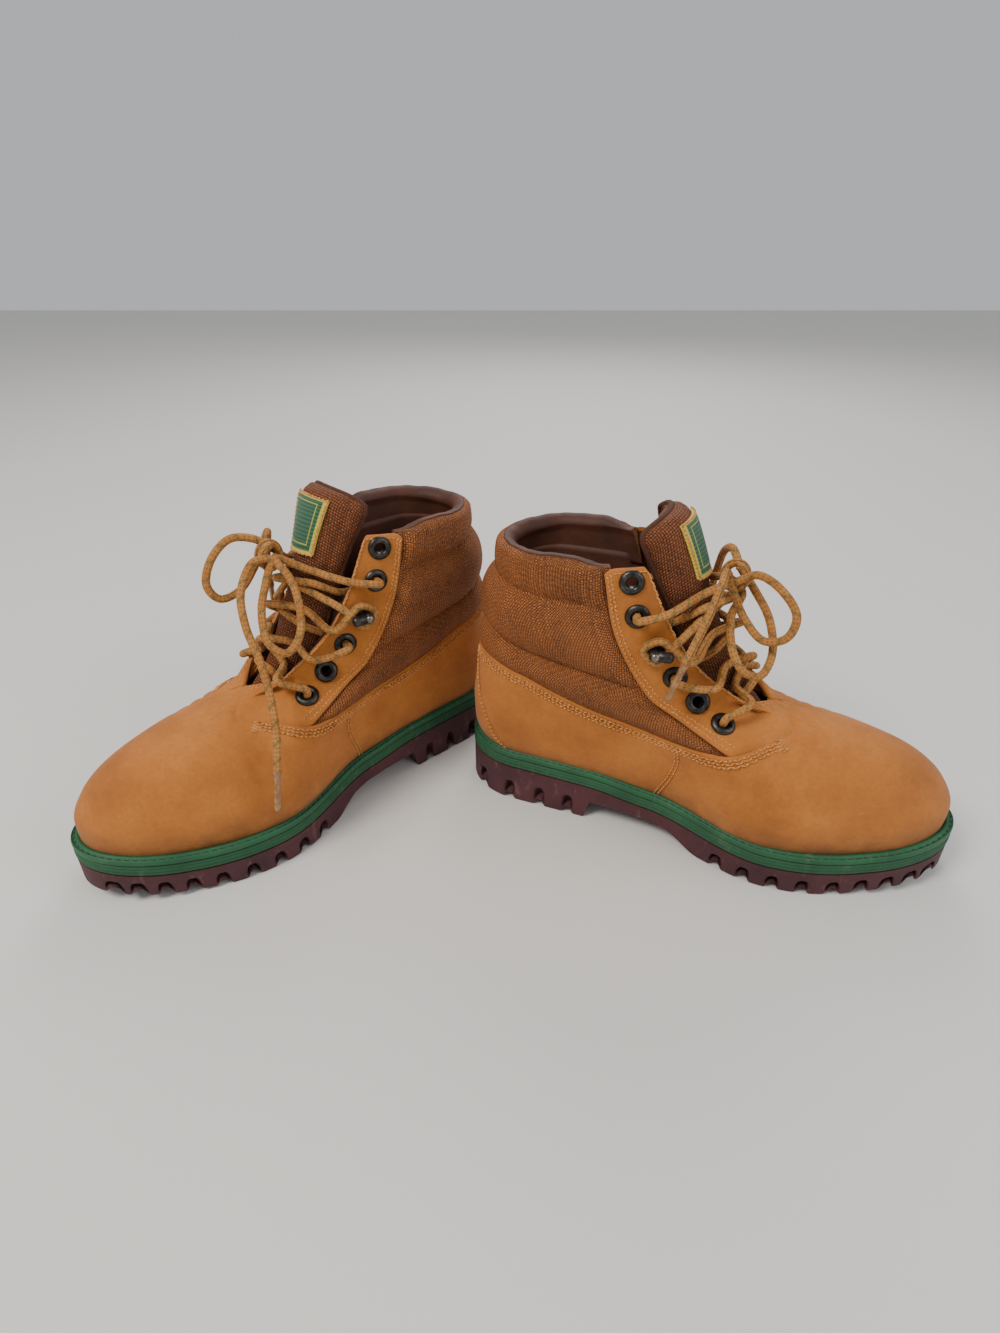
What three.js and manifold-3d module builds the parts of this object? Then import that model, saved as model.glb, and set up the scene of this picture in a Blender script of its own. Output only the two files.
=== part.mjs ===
// A pair of ankle-high lace-up hiking boots, each with a lugged sole, a leather and woven upper,
// a padded tongue and its own lace. Millimetres, +Z up, standing on the floor at z = 0.
//
// Every boot is built in its own shoe frame: x runs from the heel to the toe, y to the wearer's
// left, z up, for the right shoe. The left shoe is the same boot mirrored in y.

import * as THREE from 'three';
import { mergeVertices } from 'three/addons/utils/BufferGeometryUtils.js';
import Module from 'manifold-3d';

const wasm = await Module();
wasm.setup();

// ---------------------------------------------------------------- driving dimensions

// Sole outline: half widths from the centreline, at four places along the sole.
const SOLE_LENGTH = 300;
const SOLE_STATIONS = [0.14, 0.42, 0.68, 0.85];
const LATERAL_HALF_WIDTHS = [33, 34, 55, 50];
const MEDIAL_HALF_WIDTHS = [33, 30, 49, 45];
const TOE_SWING = 6;
const SOLE_HEEL_CAP = 0.13;
const SOLE_TOE_CAP = 0.28;

// Sole layers and tread.
const MIDSOLE = 7.5;
const WELT_WIDTH = 3.2;
const WELT_HEIGHT = 4;
const WELT_SEAT = 0.6;
const INSOLE_INSET = 10;
const INSOLE_SEAT = 0.6;
const UPPER_SEAT = 0.8;
const OUTSOLE_PLACES = [0, 0.3, 0.42, 0.65, 0.8, 1];
const OUTSOLE_HEIGHTS = [27, 25, 20, 15.5, 16, 24];
const INSOLE_BOARD = 2.5;
const FOOTBED = 5;
const HEEL_BREAST = 92;
const BREAST_SLOPE = 5;
const WAIST_HEIGHT = 13;
const WAIST_END = 140;
const FOREFOOT_START = 164;
const TOE_SPRING_START = 225;
const TOE_SPRING = 9;
const NOTCH_WIDTH = 6;
const NOTCH_DEPTH = 4.5;
const NOTCH_LENGTH = 9;
const HEEL_NOTCHES = [0.05, 0.12, 0.19, 0.255];
const FOREFOOT_NOTCHES = [0.58, 0.635, 0.69, 0.745, 0.8, 0.85, 0.895, 0.935, 0.968];

// The upper's surface. Rows are LEVELS from the feather line to the rim, and each row's half widths
// are given at four places from the heel to the toe. The rows above the feather line are listed:
// x forward from the heel at the back, and x back from the toe at the front. The feather row itself
// follows the sole's outline, inside the welt by these margins.
const HEEL_MARGIN = 1.65;
const TOE_MARGIN = 1.65;
const LATERAL_MARGINS = [1.05, 2.05, 2.05, 2.05];
const MEDIAL_MARGINS = [1.05, 1.55, 2.05, 2.05];
const LEVELS = [0, 0.12, 0.25, 0.38, 0.5, 0.58, 0.8, 1];
const BACK_X = [3, 2.5, 4, 6, 8, 12, 20];
const BACK_Z = [35, 50, 66, 82, 98, 109, 142, 174];
const FRONT_SETBACK = [7, 14, 36, 75, 114, 166, 190];
const FRONT_Z = [32, 46, 61, 77, 85, 94, 136, 179];
const THROAT_LEVEL = 0.58;
const THROAT_GAP = 27;
const THROAT_BASE_GAP = 15;
const HEEL_CAP = [0.13, 0.13, 0.13, 0.14, 0.17, 0.2, 0.27, 0.32];
const TOE_CAP = [0.30, 0.30, 0.34, 0.42, 0.5, 0.45, 0.35, 0.32];
const RING_STATIONS = [0.1, 0.42, 0.68, 0.85];
const LATERAL_RINGS = [
  [31, 31, 52, 47],
  [31.5, 32, 49, 44],
  [31.5, 33, 46, 38],
  [31, 34, 41, 34],
  [30, 34, 36, 33],
  [30, 36, 36, 34],
  [31, 37, 37, 35],
];
const MEDIAL_RINGS = [
  [31, 27, 46, 41],
  [31.5, 30, 43, 37],
  [31.5, 31, 37, 30],
  [31, 32, 32, 26],
  [30, 32, 30, 28],
  [30, 34, 33, 32],
  [31, 35, 35, 34],
];

// Upper, pads and fits.
const LEATHER = 1.8;
const SKIN_CLEARANCE = 0.15;
const CLEARANCE = 0.3;
const COLLAR_PAD = 5.5;
const LINING = 1.4;
const QUILT_SWELL = 2.5;
const TUCK = 0.05;
const COLLAR_INSET = 1.3;
const LINING_GAP = 2.2;
const EYESTAY_LAP = 0.035;
const EYESTAY_FRONT = 0.985;
const TONGUE_PAD = 8;
const LABEL_LOW = 0.66;
const LABEL_HIGH = 0.86;
const LABEL_ANGLE = 0.55;
const LABEL_THICKNESS = 1;
const LABEL_SEAT = 0.7;

// Lace fittings: [u, v] spots on the skin, from the top down, and the metal's sizes.
const EYELETS = [[0.79, 0.965], [0.76, 0.875], [0.755, 0.7], [0.73, 0.615], [0.68, 0.53]];
const HOOK = [0.765, 0.785];
const FITTING_REACH = 0.035;
const EYELET_FLANGE = 6.2;
const EYELET_BARREL = 3.5;
const EYELET_CLEARANCE = 0.6;
const EYELET_BORE = 3;
const EYELET_RISE = 1.4;
const EYELET_SEAT = 3.1;
const HOOK_SEAT = 0.8;
const HOOK_FOOT = 5.5;
const HOOK_PLATE = 1.2;
const HOOK_STEM = 2;
const HOOK_RISE = 10.4;
const HOOK_BARREL = 3;
const HOOK_LENGTH = 12;

// Lace, its metal-free tips, and how far its centreline keeps from what it passes.
const LACE_DIAMETER = 4.6;
const AGLET_DIAMETER = 3.8;
const AGLET_LENGTH = 22;
const OUTSIDE_EYELET = 9.5;
const INSIDE_EYELET = 6;
const UNDER_EYESTAY = 5.8;
const OVER_EYESTAY = 6.5;
const OVER_TONGUE = 4.8;
const OVER_LACE = 5.2;
const HOOK_PASS = 4.3;
const HOOK_TURN = 6.4;

// Free stretches of each lace in its shoe frame: [x, y, z]. The knot sits on the tongue.
const RIGHT_BOW = {
  firstLoop: [
    [156, -5, 168], [167, -8, 175], [180, -12, 170], [190, -14, 157], [187, -15, 144], [176, -14, 140],
    [164, -9, 149], [156, -6, 162], [151, -8, 174],
  ],
  firstEnd: [[150, -20, 172], [147, -31, 159], [143, -39, 146], [139, -44, 133]],
  secondLoop: [
    [152, 4, 166], [160, 5, 158], [157, -12, 151], [161, -24, 137], [169, -27, 126], [178, -21, 122],
    [182, -9, 130], [177, 1, 146], [166, 5, 161], [157, 6, 172],
  ],
  secondEnd: [[151, 12, 180], [146, 24, 174], [143, 35, 160], [141, 43, 145], [139, 47, 131]],
};
const LEFT_BOW = {
  firstLoop: [
    [158, -6, 172], [156, -18, 162], [158, -28, 147], [164, -34, 134], [173, -34, 127], [179, -26, 132],
    [175, -15, 147], [166, -8, 161], [161, -7, 172],
  ],
  firstEnd: [
    [170, -4, 172], [181, -6, 158], [187, -18, 143], [188, -31, 126], [191, -43, 108], [196, -53, 90],
    [202, -59, 72],
  ],
  secondLoop: [
    [154, 4, 174], [164, 5, 182], [176, 8, 184], [188, 9, 175], [194, 8, 161], [189, 6, 152],
    [178, 4, 154], [166, 4, 166],
  ],
  secondEnd: [[152, 12, 180], [146, 24, 174], [143, 35, 160], [141, 43, 145], [139, 47, 131]],
};

// Where each boot stands in the pair.
const RIGHT_HEEL = [-15.4, 434.1];
const RIGHT_TURN = -21.1;
const LEFT_HEEL = [-16.6, 509.2];
const LEFT_TURN = 222.8;

// ---------------------------------------------------------------- small maths

const clamp = (x, low = 0, high = 1) => Math.min(high, Math.max(low, x));
const mix = (a, b, t) => a + (b - a) * t;
const smooth = (t) => clamp(t) ** 2 * (3 - 2 * clamp(t));

// Smooth curve through values at given places, without overshoot.
function through(places, values) {
  const slopes = places.map((place, i) => {
    if (i === 0 || i === places.length - 1) return 0;
    const before = (values[i] - values[i - 1]) / (place - places[i - 1]);
    const after = (values[i + 1] - values[i]) / (places[i + 1] - place);
    return before * after <= 0 ? 0 : (2 * before * after) / (before + after);
  });
  const last = places.length - 1;
  slopes[0] = (values[1] - values[0]) / (places[1] - places[0]);
  slopes[last] = (values[last] - values[last - 1]) / (places[last] - places[last - 1]);
  return (x) => {
    if (x <= places[0]) return values[0];
    if (x >= places[last]) return values[last];
    let i = 0;
    while (x > places[i + 1]) i += 1;
    const span = places[i + 1] - places[i];
    const t = (x - places[i]) / span;
    const a = values[i] * (1 + 2 * t) * (1 - t) ** 2 + span * slopes[i] * t * (1 - t) ** 2;
    const b = values[i + 1] * t * t * (3 - 2 * t) + span * slopes[i + 1] * t * t * (t - 1);
    return a + b;
  };
}

// ---------------------------------------------------------------- the upper's surface

const OUTSOLE_TOP = through(OUTSOLE_PLACES, OUTSOLE_HEIGHTS);
const featherInset = WELT_WIDTH + LEATHER + SKIN_CLEARANCE;
const feather = (halves, margins) => halves.map((half, k) => half - featherInset - margins[k]);
const level = (values) => through(LEVELS, values);
const backX = level([featherInset + HEEL_MARGIN, ...BACK_X]);
const backZ = level(BACK_Z);
const frontX = level([featherInset + TOE_MARGIN, ...FRONT_SETBACK].map((back) => SOLE_LENGTH - back));
const frontZ = level(FRONT_Z);
const THROAT_RAMP = 0.2;
const gapAt = (v) => {
  if (v <= THROAT_LEVEL) return 0;
  return mix(THROAT_BASE_GAP, THROAT_GAP, smooth((v - THROAT_LEVEL) / THROAT_RAMP));
};
const heelCap = level(HEEL_CAP);
const toeCap = level(TOE_CAP);
const lateralRows = [feather(LATERAL_HALF_WIDTHS, LATERAL_MARGINS), ...LATERAL_RINGS];
const medialRows = [feather(MEDIAL_HALF_WIDTHS, MEDIAL_MARGINS), ...MEDIAL_RINGS];
const rings = {
  '-1': RING_STATIONS.map((_, k) => level(lateralRows.map((row) => row[k]))),
  1: RING_STATIONS.map((_, k) => level(medialRows.map((row) => row[k]))),
};
const swing = (x) => TOE_SWING * smooth((x / SOLE_LENGTH - 0.5) / 0.5);

function skinPoint(side, u, v) {
  const t = (1 - Math.cos(Math.PI * u)) / 2;
  const x = mix(backX(v), frontX(v), t);
  const half = through(RING_STATIONS, rings[side].map((ring) => ring(v)))(t);
  const heel = t < heelCap(v) ? Math.sqrt(Math.max(0, 1 - (1 - t / heelCap(v)) ** 2)) : 1;
  const start = 1 - toeCap(v);
  const bend = Math.max(0, (t - start) / toeCap(v)) ** 2;
  const toe = Math.max(0, 1 - bend) ** mix(0.5, 1, smooth((v - 0.5) / 0.15));
  const y = swing(x) + side * mix(gapAt(v), half, toe) * heel;
  const base = mix(backZ(0), frontZ(0), t);
  const seat = OUTSOLE_TOP(x / SOLE_LENGTH) + MIDSOLE + UPPER_SEAT - base;
  const z = mix(backZ(v), frontZ(v), t) + seat * clamp(1 - v / THROAT_LEVEL) ** 1.5;
  return new THREE.Vector3(x, y, z);
}

const isThroat = (v) => v > THROAT_LEVEL;

// Outward unit normal of the skin, from two short steps along it.
function skinNormal(side, u, v, step = 0.004) {
  const floor = isThroat(v) ? THROAT_LEVEL + 1e-6 : 0;
  const roof = isThroat(v) ? 1 : THROAT_LEVEL;
  const ahead = skinPoint(side, Math.min(1, u + step), v);
  const along = ahead.sub(skinPoint(side, Math.max(0, u - step), v));
  const above = skinPoint(side, u, Math.min(roof, v + step));
  const up = above.sub(skinPoint(side, u, Math.max(floor, v - step)));
  const normal = along.cross(up).multiplyScalar(-side);
  if (u === 0 || (u === 1 && !isThroat(v))) normal.y = 0;
  return normal.normalize();
}

// Normal of the flat that a metal fitting takes, averaged over its width.
const fittingNormal = (side, u, v) => skinNormal(side, u, v, FITTING_REACH);

function offSkin(side, u, v, distance) {
  return skinPoint(side, u, v).addScaledVector(skinNormal(side, u, v), distance);
}

// ---------------------------------------------------------------- closed meshes

// A BufferGeometry of shared vertices, turned so that its faces point out.
function closedGeometry(points, faces) {
  let volume = 0;
  for (const [a, b, c] of faces) volume += points[a].dot(points[b].clone().cross(points[c]));
  const geometry = new THREE.BufferGeometry();
  const positions = points.flatMap((point) => point.toArray());
  const index = faces.flatMap(([a, b, c]) => (volume > 0 ? [a, b, c] : [a, c, b]));
  geometry.setAttribute('position', new THREE.Float32BufferAttribute(positions, 3));
  geometry.setIndex(index);
  return geometry;
}

// The solid between two grids of the same size, each a list of rows of points.
function solidBetween(outer, inner) {
  const rows = outer.length;
  const columns = outer[0].length;
  const points = [...outer.flat(), ...inner.flat()];
  const at = (layer, row, column) => layer * rows * columns + row * columns + column;
  const faces = [];
  const quad = (a, b, c, d) => faces.push([a, b, c], [a, c, d]);
  for (let j = 0; j < rows - 1; j += 1) {
    for (let i = 0; i < columns - 1; i += 1) {
      quad(at(0, j, i), at(0, j, i + 1), at(0, j + 1, i + 1), at(0, j + 1, i));
      quad(at(1, j, i), at(1, j + 1, i), at(1, j + 1, i + 1), at(1, j, i + 1));
    }
  }
  for (let i = 0; i < columns - 1; i += 1) {
    quad(at(0, 0, i), at(1, 0, i), at(1, 0, i + 1), at(0, 0, i + 1));
    const top = rows - 1;
    quad(at(0, top, i), at(0, top, i + 1), at(1, top, i + 1), at(1, top, i));
  }
  for (let j = 0; j < rows - 1; j += 1) {
    const last = columns - 1;
    quad(at(0, j, 0), at(0, j + 1, 0), at(1, j + 1, 0), at(1, j, 0));
    quad(at(0, j, last), at(1, j, last), at(1, j + 1, last), at(0, j + 1, last));
  }
  return closedGeometry(points, faces);
}

// A sheet on the skin. spot(a, b) gives its side, u and v; inner and outer are its two offsets.
function skinSheet(columns, rows, spot, inner, outer) {
  const layer = (distance) => Array.from({ length: rows + 1 }, (_, j) =>
    Array.from({ length: columns + 1 }, (__, i) => {
      const { side, u, v } = spot(i / columns, j / rows);
      return offSkin(side, u, v, distance(i / columns, j / rows));
    }));
  return solidBetween(layer(outer), layer(inner));
}

// ---------------------------------------------------------------- booleans

// A copy that holds positions only, with each corner stored once.
function bare(geometry) {
  const copy = geometry.clone();
  copy.deleteAttribute('normal');
  copy.deleteAttribute('uv');
  return mergeVertices(copy, 1e-4);
}

function toSolid(geometry) {
  const merged = bare(geometry);
  const mesh = new wasm.Mesh({
    numProp: 3,
    vertProperties: new Float32Array(merged.attributes.position.array),
    triVerts: new Uint32Array(merged.index.array),
  });
  return new wasm.Manifold(mesh);
}

function toGeometry(solid) {
  const mesh = solid.getMesh();
  const geometry = new THREE.BufferGeometry();
  geometry.setAttribute('position', new THREE.Float32BufferAttribute(mesh.vertProperties, 3));
  geometry.setIndex([...mesh.triVerts]);
  return geometry;
}

function cut(geometry, tools) {
  const body = toSolid(geometry);
  return toGeometry(tools.map(toSolid).reduce((solid, tool) => solid.subtract(tool), body));
}

function join(geometries) {
  return toGeometry(geometries.map(toSolid).reduce((whole, solid) => whole.add(solid)));
}

// Turns a geometry whose own axis is +y so that the axis points along a direction, then moves it.
function aim(geometry, direction, place) {
  const turn = new THREE.Quaternion().setFromUnitVectors(new THREE.Vector3(0, 1, 0), direction);
  return geometry.clone().applyQuaternion(turn).translate(place.x, place.y, place.z);
}

// ---------------------------------------------------------------- sole

const lateralSole = through(SOLE_STATIONS, LATERAL_HALF_WIDTHS);
const medialSole = through(SOLE_STATIONS, MEDIAL_HALF_WIDTHS);

function soleEdge(side, t, grow) {
  const half = (side < 0 ? lateralSole(t) : medialSole(t)) + grow;
  const heel = Math.sqrt(Math.max(0, 1 - Math.max(0, 1 - t / SOLE_HEEL_CAP) ** 2));
  const toe = Math.sqrt(Math.max(0, 1 - Math.max(0, (t - 1 + SOLE_TOE_CAP) / SOLE_TOE_CAP) ** 2));
  const x = mix(-grow, SOLE_LENGTH + grow, t);
  return { x, y: swing(x) + side * half * heel * toe };
}

// Places along the sole, closer together at its two round ends.
function evenStations(count) {
  return Array.from({ length: count + 1 }, (_, i) => (1 - Math.cos((Math.PI * i) / count)) / 2);
}

// A layer of the sole between two heights, which follow x.
function slab(stations, grow, bottom, top) {
  const outline = (height) => [-1, 1].map((side) => stations.map((t) => {
    const { x, y } = soleEdge(side, t, grow);
    return new THREE.Vector3(x, y, height(x));
  }));
  return solidBetween(outline(top), outline(bottom));
}

const outsoleTop = (x) => OUTSOLE_TOP(x / SOLE_LENGTH);
const weltSeat = (x) => outsoleTop(x) + MIDSOLE + WELT_SEAT;

const treadHeight = through(
  [0, HEEL_BREAST - BREAST_SLOPE, HEEL_BREAST, WAIST_END, FOREFOOT_START, TOE_SPRING_START, SOLE_LENGTH],
  [0, 0, WAIST_HEIGHT, WAIST_HEIGHT - 4, 0, 0, TOE_SPRING],
);

// A wedge that cuts one notch into the tread's edge at station t.
function notch(side, t, inward) {
  const { x, y } = soleEdge(side, t, 0);
  const ahead = soleEdge(side, Math.min(1, t + 0.01), 0);
  const behind = soleEdge(side, Math.max(0, t - 0.01), 0);
  const yaw = Math.atan2(ahead.y - behind.y, ahead.x - behind.x);
  const shape = new THREE.Shape();
  shape.moveTo(-NOTCH_WIDTH / 2 - 2, -2);
  shape.lineTo(NOTCH_WIDTH / 2 + 2, -2);
  shape.lineTo(NOTCH_WIDTH / 2 - 1, NOTCH_DEPTH);
  shape.lineTo(-NOTCH_WIDTH / 2 + 1, NOTCH_DEPTH);
  shape.closePath();
  const wedge = new THREE.ExtrudeGeometry(shape, { depth: inward * 2, bevelEnabled: false });
  wedge.translate(0, 0, -inward).rotateX(Math.PI / 2).rotateZ(yaw);
  return wedge.translate(x, y, treadHeight(x));
}

function outsole() {
  const breast = [HEEL_BREAST - BREAST_SLOPE, HEEL_BREAST, FOREFOOT_START].map((x) => x / SOLE_LENGTH);
  const stations = [...evenStations(26), ...breast].sort((a, b) => a - b);
  const body = slab(stations, 0, treadHeight, (x) => outsoleTop(x));
  const notches = [-1, 1].flatMap((side) => [
    ...HEEL_NOTCHES.map((t) => notch(side, t, NOTCH_LENGTH)),
    ...FOREFOOT_NOTCHES.map((t) => notch(side, t, NOTCH_LENGTH)),
  ]);
  return cut(body, notches);
}

function midsole() {
  return slab(evenStations(26), -0.4, (x) => outsoleTop(x) + CLEARANCE, (x) => outsoleTop(x) + MIDSOLE);
}

// The raised strip around the foot, in the corner between the midsole and the upper.
function welt() {
  const count = 44;
  const section = [
    [-WELT_WIDTH, 0],
    [-WELT_WIDTH, WELT_HEIGHT - 1],
    [-WELT_WIDTH * 0.6, WELT_HEIGHT],
    [-1, WELT_HEIGHT - 0.8],
    [0, WELT_HEIGHT - 2],
    [0, 0],
  ];
  const ring = (k) => {
    const turn = k / count;
    const side = turn < 0.5 ? -1 : 1;
    const t = (1 - Math.cos(2 * Math.PI * turn)) / 2;
    return section.map(([inset, height]) => {
      const { x, y } = soleEdge(side, t, inset);
      return new THREE.Vector3(x, y, weltSeat(x) + height);
    });
  };
  const rings = Array.from({ length: count }, (_, k) => ring(k));
  const points = rings.flat();
  const faces = [];
  const sides = section.length;
  for (let k = 0; k < count; k += 1) {
    for (let i = 0; i < sides; i += 1) {
      const a = k * sides + i;
      const b = k * sides + ((i + 1) % sides);
      const c = ((k + 1) % count) * sides + ((i + 1) % sides);
      const d = ((k + 1) % count) * sides + i;
      faces.push([a, b, c], [a, c, d]);
    }
  }
  return closedGeometry(points, faces);
}

const insoleBoard = () => slab(
  evenStations(18), -INSOLE_INSET,
  (x) => outsoleTop(x) + MIDSOLE + INSOLE_SEAT,
  (x) => outsoleTop(x) + MIDSOLE + INSOLE_SEAT + INSOLE_BOARD,
);
const footbed = () => slab(
  evenStations(18), -INSOLE_INSET,
  (x) => outsoleTop(x) + MIDSOLE + INSOLE_SEAT + INSOLE_BOARD + CLEARANCE,
  (x) => outsoleTop(x) + MIDSOLE + INSOLE_SEAT + INSOLE_BOARD + FOOTBED,
);

// ---------------------------------------------------------------- leather panels

const leatherIn = () => SKIN_CLEARANCE;
const leatherOut = () => SKIN_CLEARANCE + LEATHER;

const quarterTop = through(
  [0, 0.15, 0.28, 0.34, 0.42, 0.5, 0.58, 0.68, 1],
  [0.54, 0.55, 0.53, 0.48, 0.41, 0.385, 0.4, 0.46, THROAT_LEVEL],
);
const seamU = (v) => mix(0.465, 0.525, clamp(v / 0.4));
const stripU = (b) => mix(0.19, 0.05, b);
const eyestayRear = through([0.4, 0.5, 0.72, 0.88, 1], [0.6, 0.595, 0.63, 0.655, 0.68]);

function vamp() {
  const edge = 0.001;
  return skinSheet(20, 8, (a, b) => {
    const side = a < 0.5 ? -1 : 1;
    const rear = seamU(b * 0.39) + edge;
    const u = mix(rear, 1, 1 - Math.abs(2 * a - 1));
    const v = b * (quarterTop(u) - 0.0001);
    return { side, u, v };
  }, leatherIn, leatherOut);
}

function quarter(side) {
  const edge = 0.001;
  return skinSheet(6, 8, (a, b) => {
    const u = mix(stripU(b) + edge, seamU(b * 0.39) - edge, a);
    return { side, u, v: b * quarterTop(u) };
  }, leatherIn, leatherOut);
}

function heelStrip() {
  const edge = 0.002;
  return skinSheet(4, 8, (a, b) => {
    const side = a < 0.5 ? -1 : 1;
    const u = (stripU(b) - edge) * Math.abs(2 * a - 1);
    return { side, u, v: b * quarterTop(u) };
  }, leatherIn, leatherOut);
}

function eyestay(side) {
  const facing = skinSheet(5, 10, (a, b) => {
    const u = mix(eyestayRear(mix(0.42, 1, b)), EYESTAY_FRONT, a);
    const foot = Math.max(quarterTop(u) + 0.006, a > 0.99 ? THROAT_LEVEL + 0.004 : 0);
    return { side, u, v: mix(foot, 1, b) };
  }, leatherIn, leatherOut);
  const holes = EYELETS.map(([u, v]) => {
    const radius = EYELET_BARREL + EYELET_CLEARANCE;
    const drill = new THREE.CylinderGeometry(radius, radius, 9, 9);
    return aim(drill, fittingNormal(side, u, v), skinPoint(side, u, v));
  });
  return cut(facing, holes);
}

// ---------------------------------------------------------------- padded collar and lining

// A spot on the wrap around the ankle: a runs from one eyestay around the heel to the other,
// rise from a foot level up to the rim. Its two ends lie under the eyestays.
function wrapSpot(a, rise, footLevel) {
  const side = a < 0.5 ? -1 : 1;
  const reach = eyestayRear(mix(0.42, 1, rise)) + EYESTAY_LAP;
  const u = reach * Math.abs(2 * a - 1);
  return { side, u, v: mix(footLevel(u), 1, rise) };
}

function quiltedCollar() {
  const rises = [0, 0.12, 0.3, 0.46, 0.6, 0.76, 0.9, 1];
  const swells = [0, 0, 1, 0, 1, 0, 1, 0];
  const rows = rises.length - 1;
  const row = (b) => Math.round(b * rows);
  const spot = (a, b) => wrapSpot(a, rises[row(b)], (u) => quarterTop(u) - TUCK);
  const flatEnds = (a) => smooth((0.9 - Math.abs(2 * a - 1)) / 0.15);
  const outer = (a, b) => -COLLAR_INSET + QUILT_SWELL * swells[row(b)] * flatEnds(a);
  return skinSheet(22, rows, spot, () => -COLLAR_PAD, outer);
}

function collarLining() {
  const rises = [0, 0.12, 0.3, 0.6, 1];
  const rows = rises.length - 1;
  const spot = (a, b) => wrapSpot(a, rises[Math.round(b * rows)], (u) => quarterTop(u) - TUCK);
  const depth = COLLAR_PAD + LINING_GAP;
  return skinSheet(22, rows, spot, () => -depth - LINING, () => -depth);
}

// ---------------------------------------------------------------- tongue

// Stations up the tongue: its crest and its edges, each as [x back from the toe, z], and its half width.
const TONGUE = [
  { crest: [99, 79], edge: [106, 72], half: 14 },
  { crest: [114, 89], edge: [126, 78], half: 13.5 },
  { crest: [130, 106], edge: [144, 92], half: 13 },
  { crest: [144, 131], edge: [164, 117], half: 18 },
  { crest: [155, 154], edge: [178, 145], half: 18 },
  { crest: [166, 178], edge: [191, 172], half: 21 },
  { crest: [176, 199], edge: [197, 190], half: 27 },
  { crest: [181, 204], edge: [197, 196], half: 26 },
];
const tonguePlaces = TONGUE.map((_, i) => i / (TONGUE.length - 1));
const tongueCurve = (read) => through(tonguePlaces, TONGUE.map(read));
const crestX = tongueCurve((s) => SOLE_LENGTH - s.crest[0]);
const crestZ = tongueCurve((s) => s.crest[1]);
const edgeX = tongueCurve((s) => SOLE_LENGTH - s.edge[0]);
const edgeZ = tongueCurve((s) => s.edge[1]);
const tongueHalf = tongueCurve((s) => s.half);

// A point on the tongue: s runs from its root to its top, angle from one edge to the other.
function tonguePoint(s, angle, depth) {
  const reach = new THREE.Vector2(crestX(s) - edgeX(s), crestZ(s) - edgeZ(s));
  const inward = depth / reach.length();
  const bulge = Math.cos(angle) * (1 - inward);
  const half = tongueHalf(s) - depth * Math.abs(Math.sin(angle)) * 0.8;
  return new THREE.Vector3(
    edgeX(s) + reach.x * bulge - depth * 0.1,
    half * Math.sin(angle),
    edgeZ(s) + reach.y * bulge,
  );
}

function tongue() {
  const columns = 10;
  const rows = 11;
  const layer = (depth) => Array.from({ length: rows + 1 }, (_, j) =>
    Array.from({ length: columns + 1 }, (__, i) => {
      const s = j / rows;
      const angle = mix(-1.35, 1.35, i / columns);
      const thin = mix(1, 0.55, Math.abs(2 * i / columns - 1)) * mix(0.45, 1, smooth(s / 0.3));
      return tonguePoint(s, angle, depth * thin);
    }));
  return solidBetween(layer(0), layer(TONGUE_PAD));
}

function tongueLabel() {
  const layer = (depth) => [0, 0.33, 0.67, 1].map((b) =>
    [0, 0.25, 0.5, 0.75, 1].map((a) => {
      const angle = mix(-LABEL_ANGLE, LABEL_ANGLE, a);
      return tonguePoint(mix(LABEL_LOW, LABEL_HIGH, b), angle, depth);
    }));
  return solidBetween(layer(-LABEL_THICKNESS - LABEL_SEAT), layer(-LABEL_SEAT));
}

// ---------------------------------------------------------------- eyelets and hooks

function eyelet(side, [u, v]) {
  const outer = SKIN_CLEARANCE + LEATHER + EYELET_SEAT;
  const profile = [
    [EYELET_BORE, -0.8],
    [EYELET_BARREL, -0.8],
    [EYELET_BARREL, outer],
    [EYELET_FLANGE, outer],
    [EYELET_BORE, outer + EYELET_RISE],
    [EYELET_BORE, -0.8],
  ].map(([r, y]) => new THREE.Vector2(r, y));
  return aim(new THREE.LatheGeometry(profile, 9), fittingNormal(side, u, v), skinPoint(side, u, v));
}

// A speed hook: a riveted foot, a stem, and a barrel that the lace is caught under.
function hook(side, [u, v]) {
  const normal = fittingNormal(side, u, v);
  const seat = skinPoint(side, u, v).addScaledVector(normal, SKIN_CLEARANCE + LEATHER + HOOK_SEAT);
  const foot = new THREE.CylinderGeometry(HOOK_FOOT, HOOK_FOOT, HOOK_PLATE, 10);
  const stem = new THREE.CylinderGeometry(HOOK_STEM, HOOK_STEM, HOOK_RISE, 8);
  const barrel = new THREE.CylinderGeometry(HOOK_BARREL, HOOK_BARREL, HOOK_LENGTH, 8);
  const forward = skinPoint(side, 1, v).sub(skinPoint(side, u, v));
  forward.addScaledVector(normal, -forward.dot(normal)).normalize();
  const rise = (h) => seat.clone().addScaledVector(normal, h);
  return join([
    aim(foot, normal, rise(HOOK_PLATE / 2)),
    aim(stem, normal, rise(HOOK_RISE / 2)),
    aim(barrel, forward, rise(HOOK_RISE).addScaledVector(forward, HOOK_LENGTH / 2 - HOOK_STEM)),
  ]);
}

// ---------------------------------------------------------------- laces

// A smooth curve that takes its steps point by point, so a tube bends finely where points are close.
class RouteCurve extends THREE.CatmullRomCurve3 {
  getPointAt(u, target) {
    return this.getPoint(u, target);
  }

  getTangentAt(u, target) {
    return this.getTangent(u, target);
  }
}

function passEyelet(side, [u, v], inward) {
  const normal = fittingNormal(side, u, v);
  const at = (distance) => skinPoint(side, u, v).addScaledVector(normal, distance);
  const pass = [at(OUTSIDE_EYELET), at(1.5), at(-INSIDE_EYELET)];
  return inward ? pass : pass.reverse();
}

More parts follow.
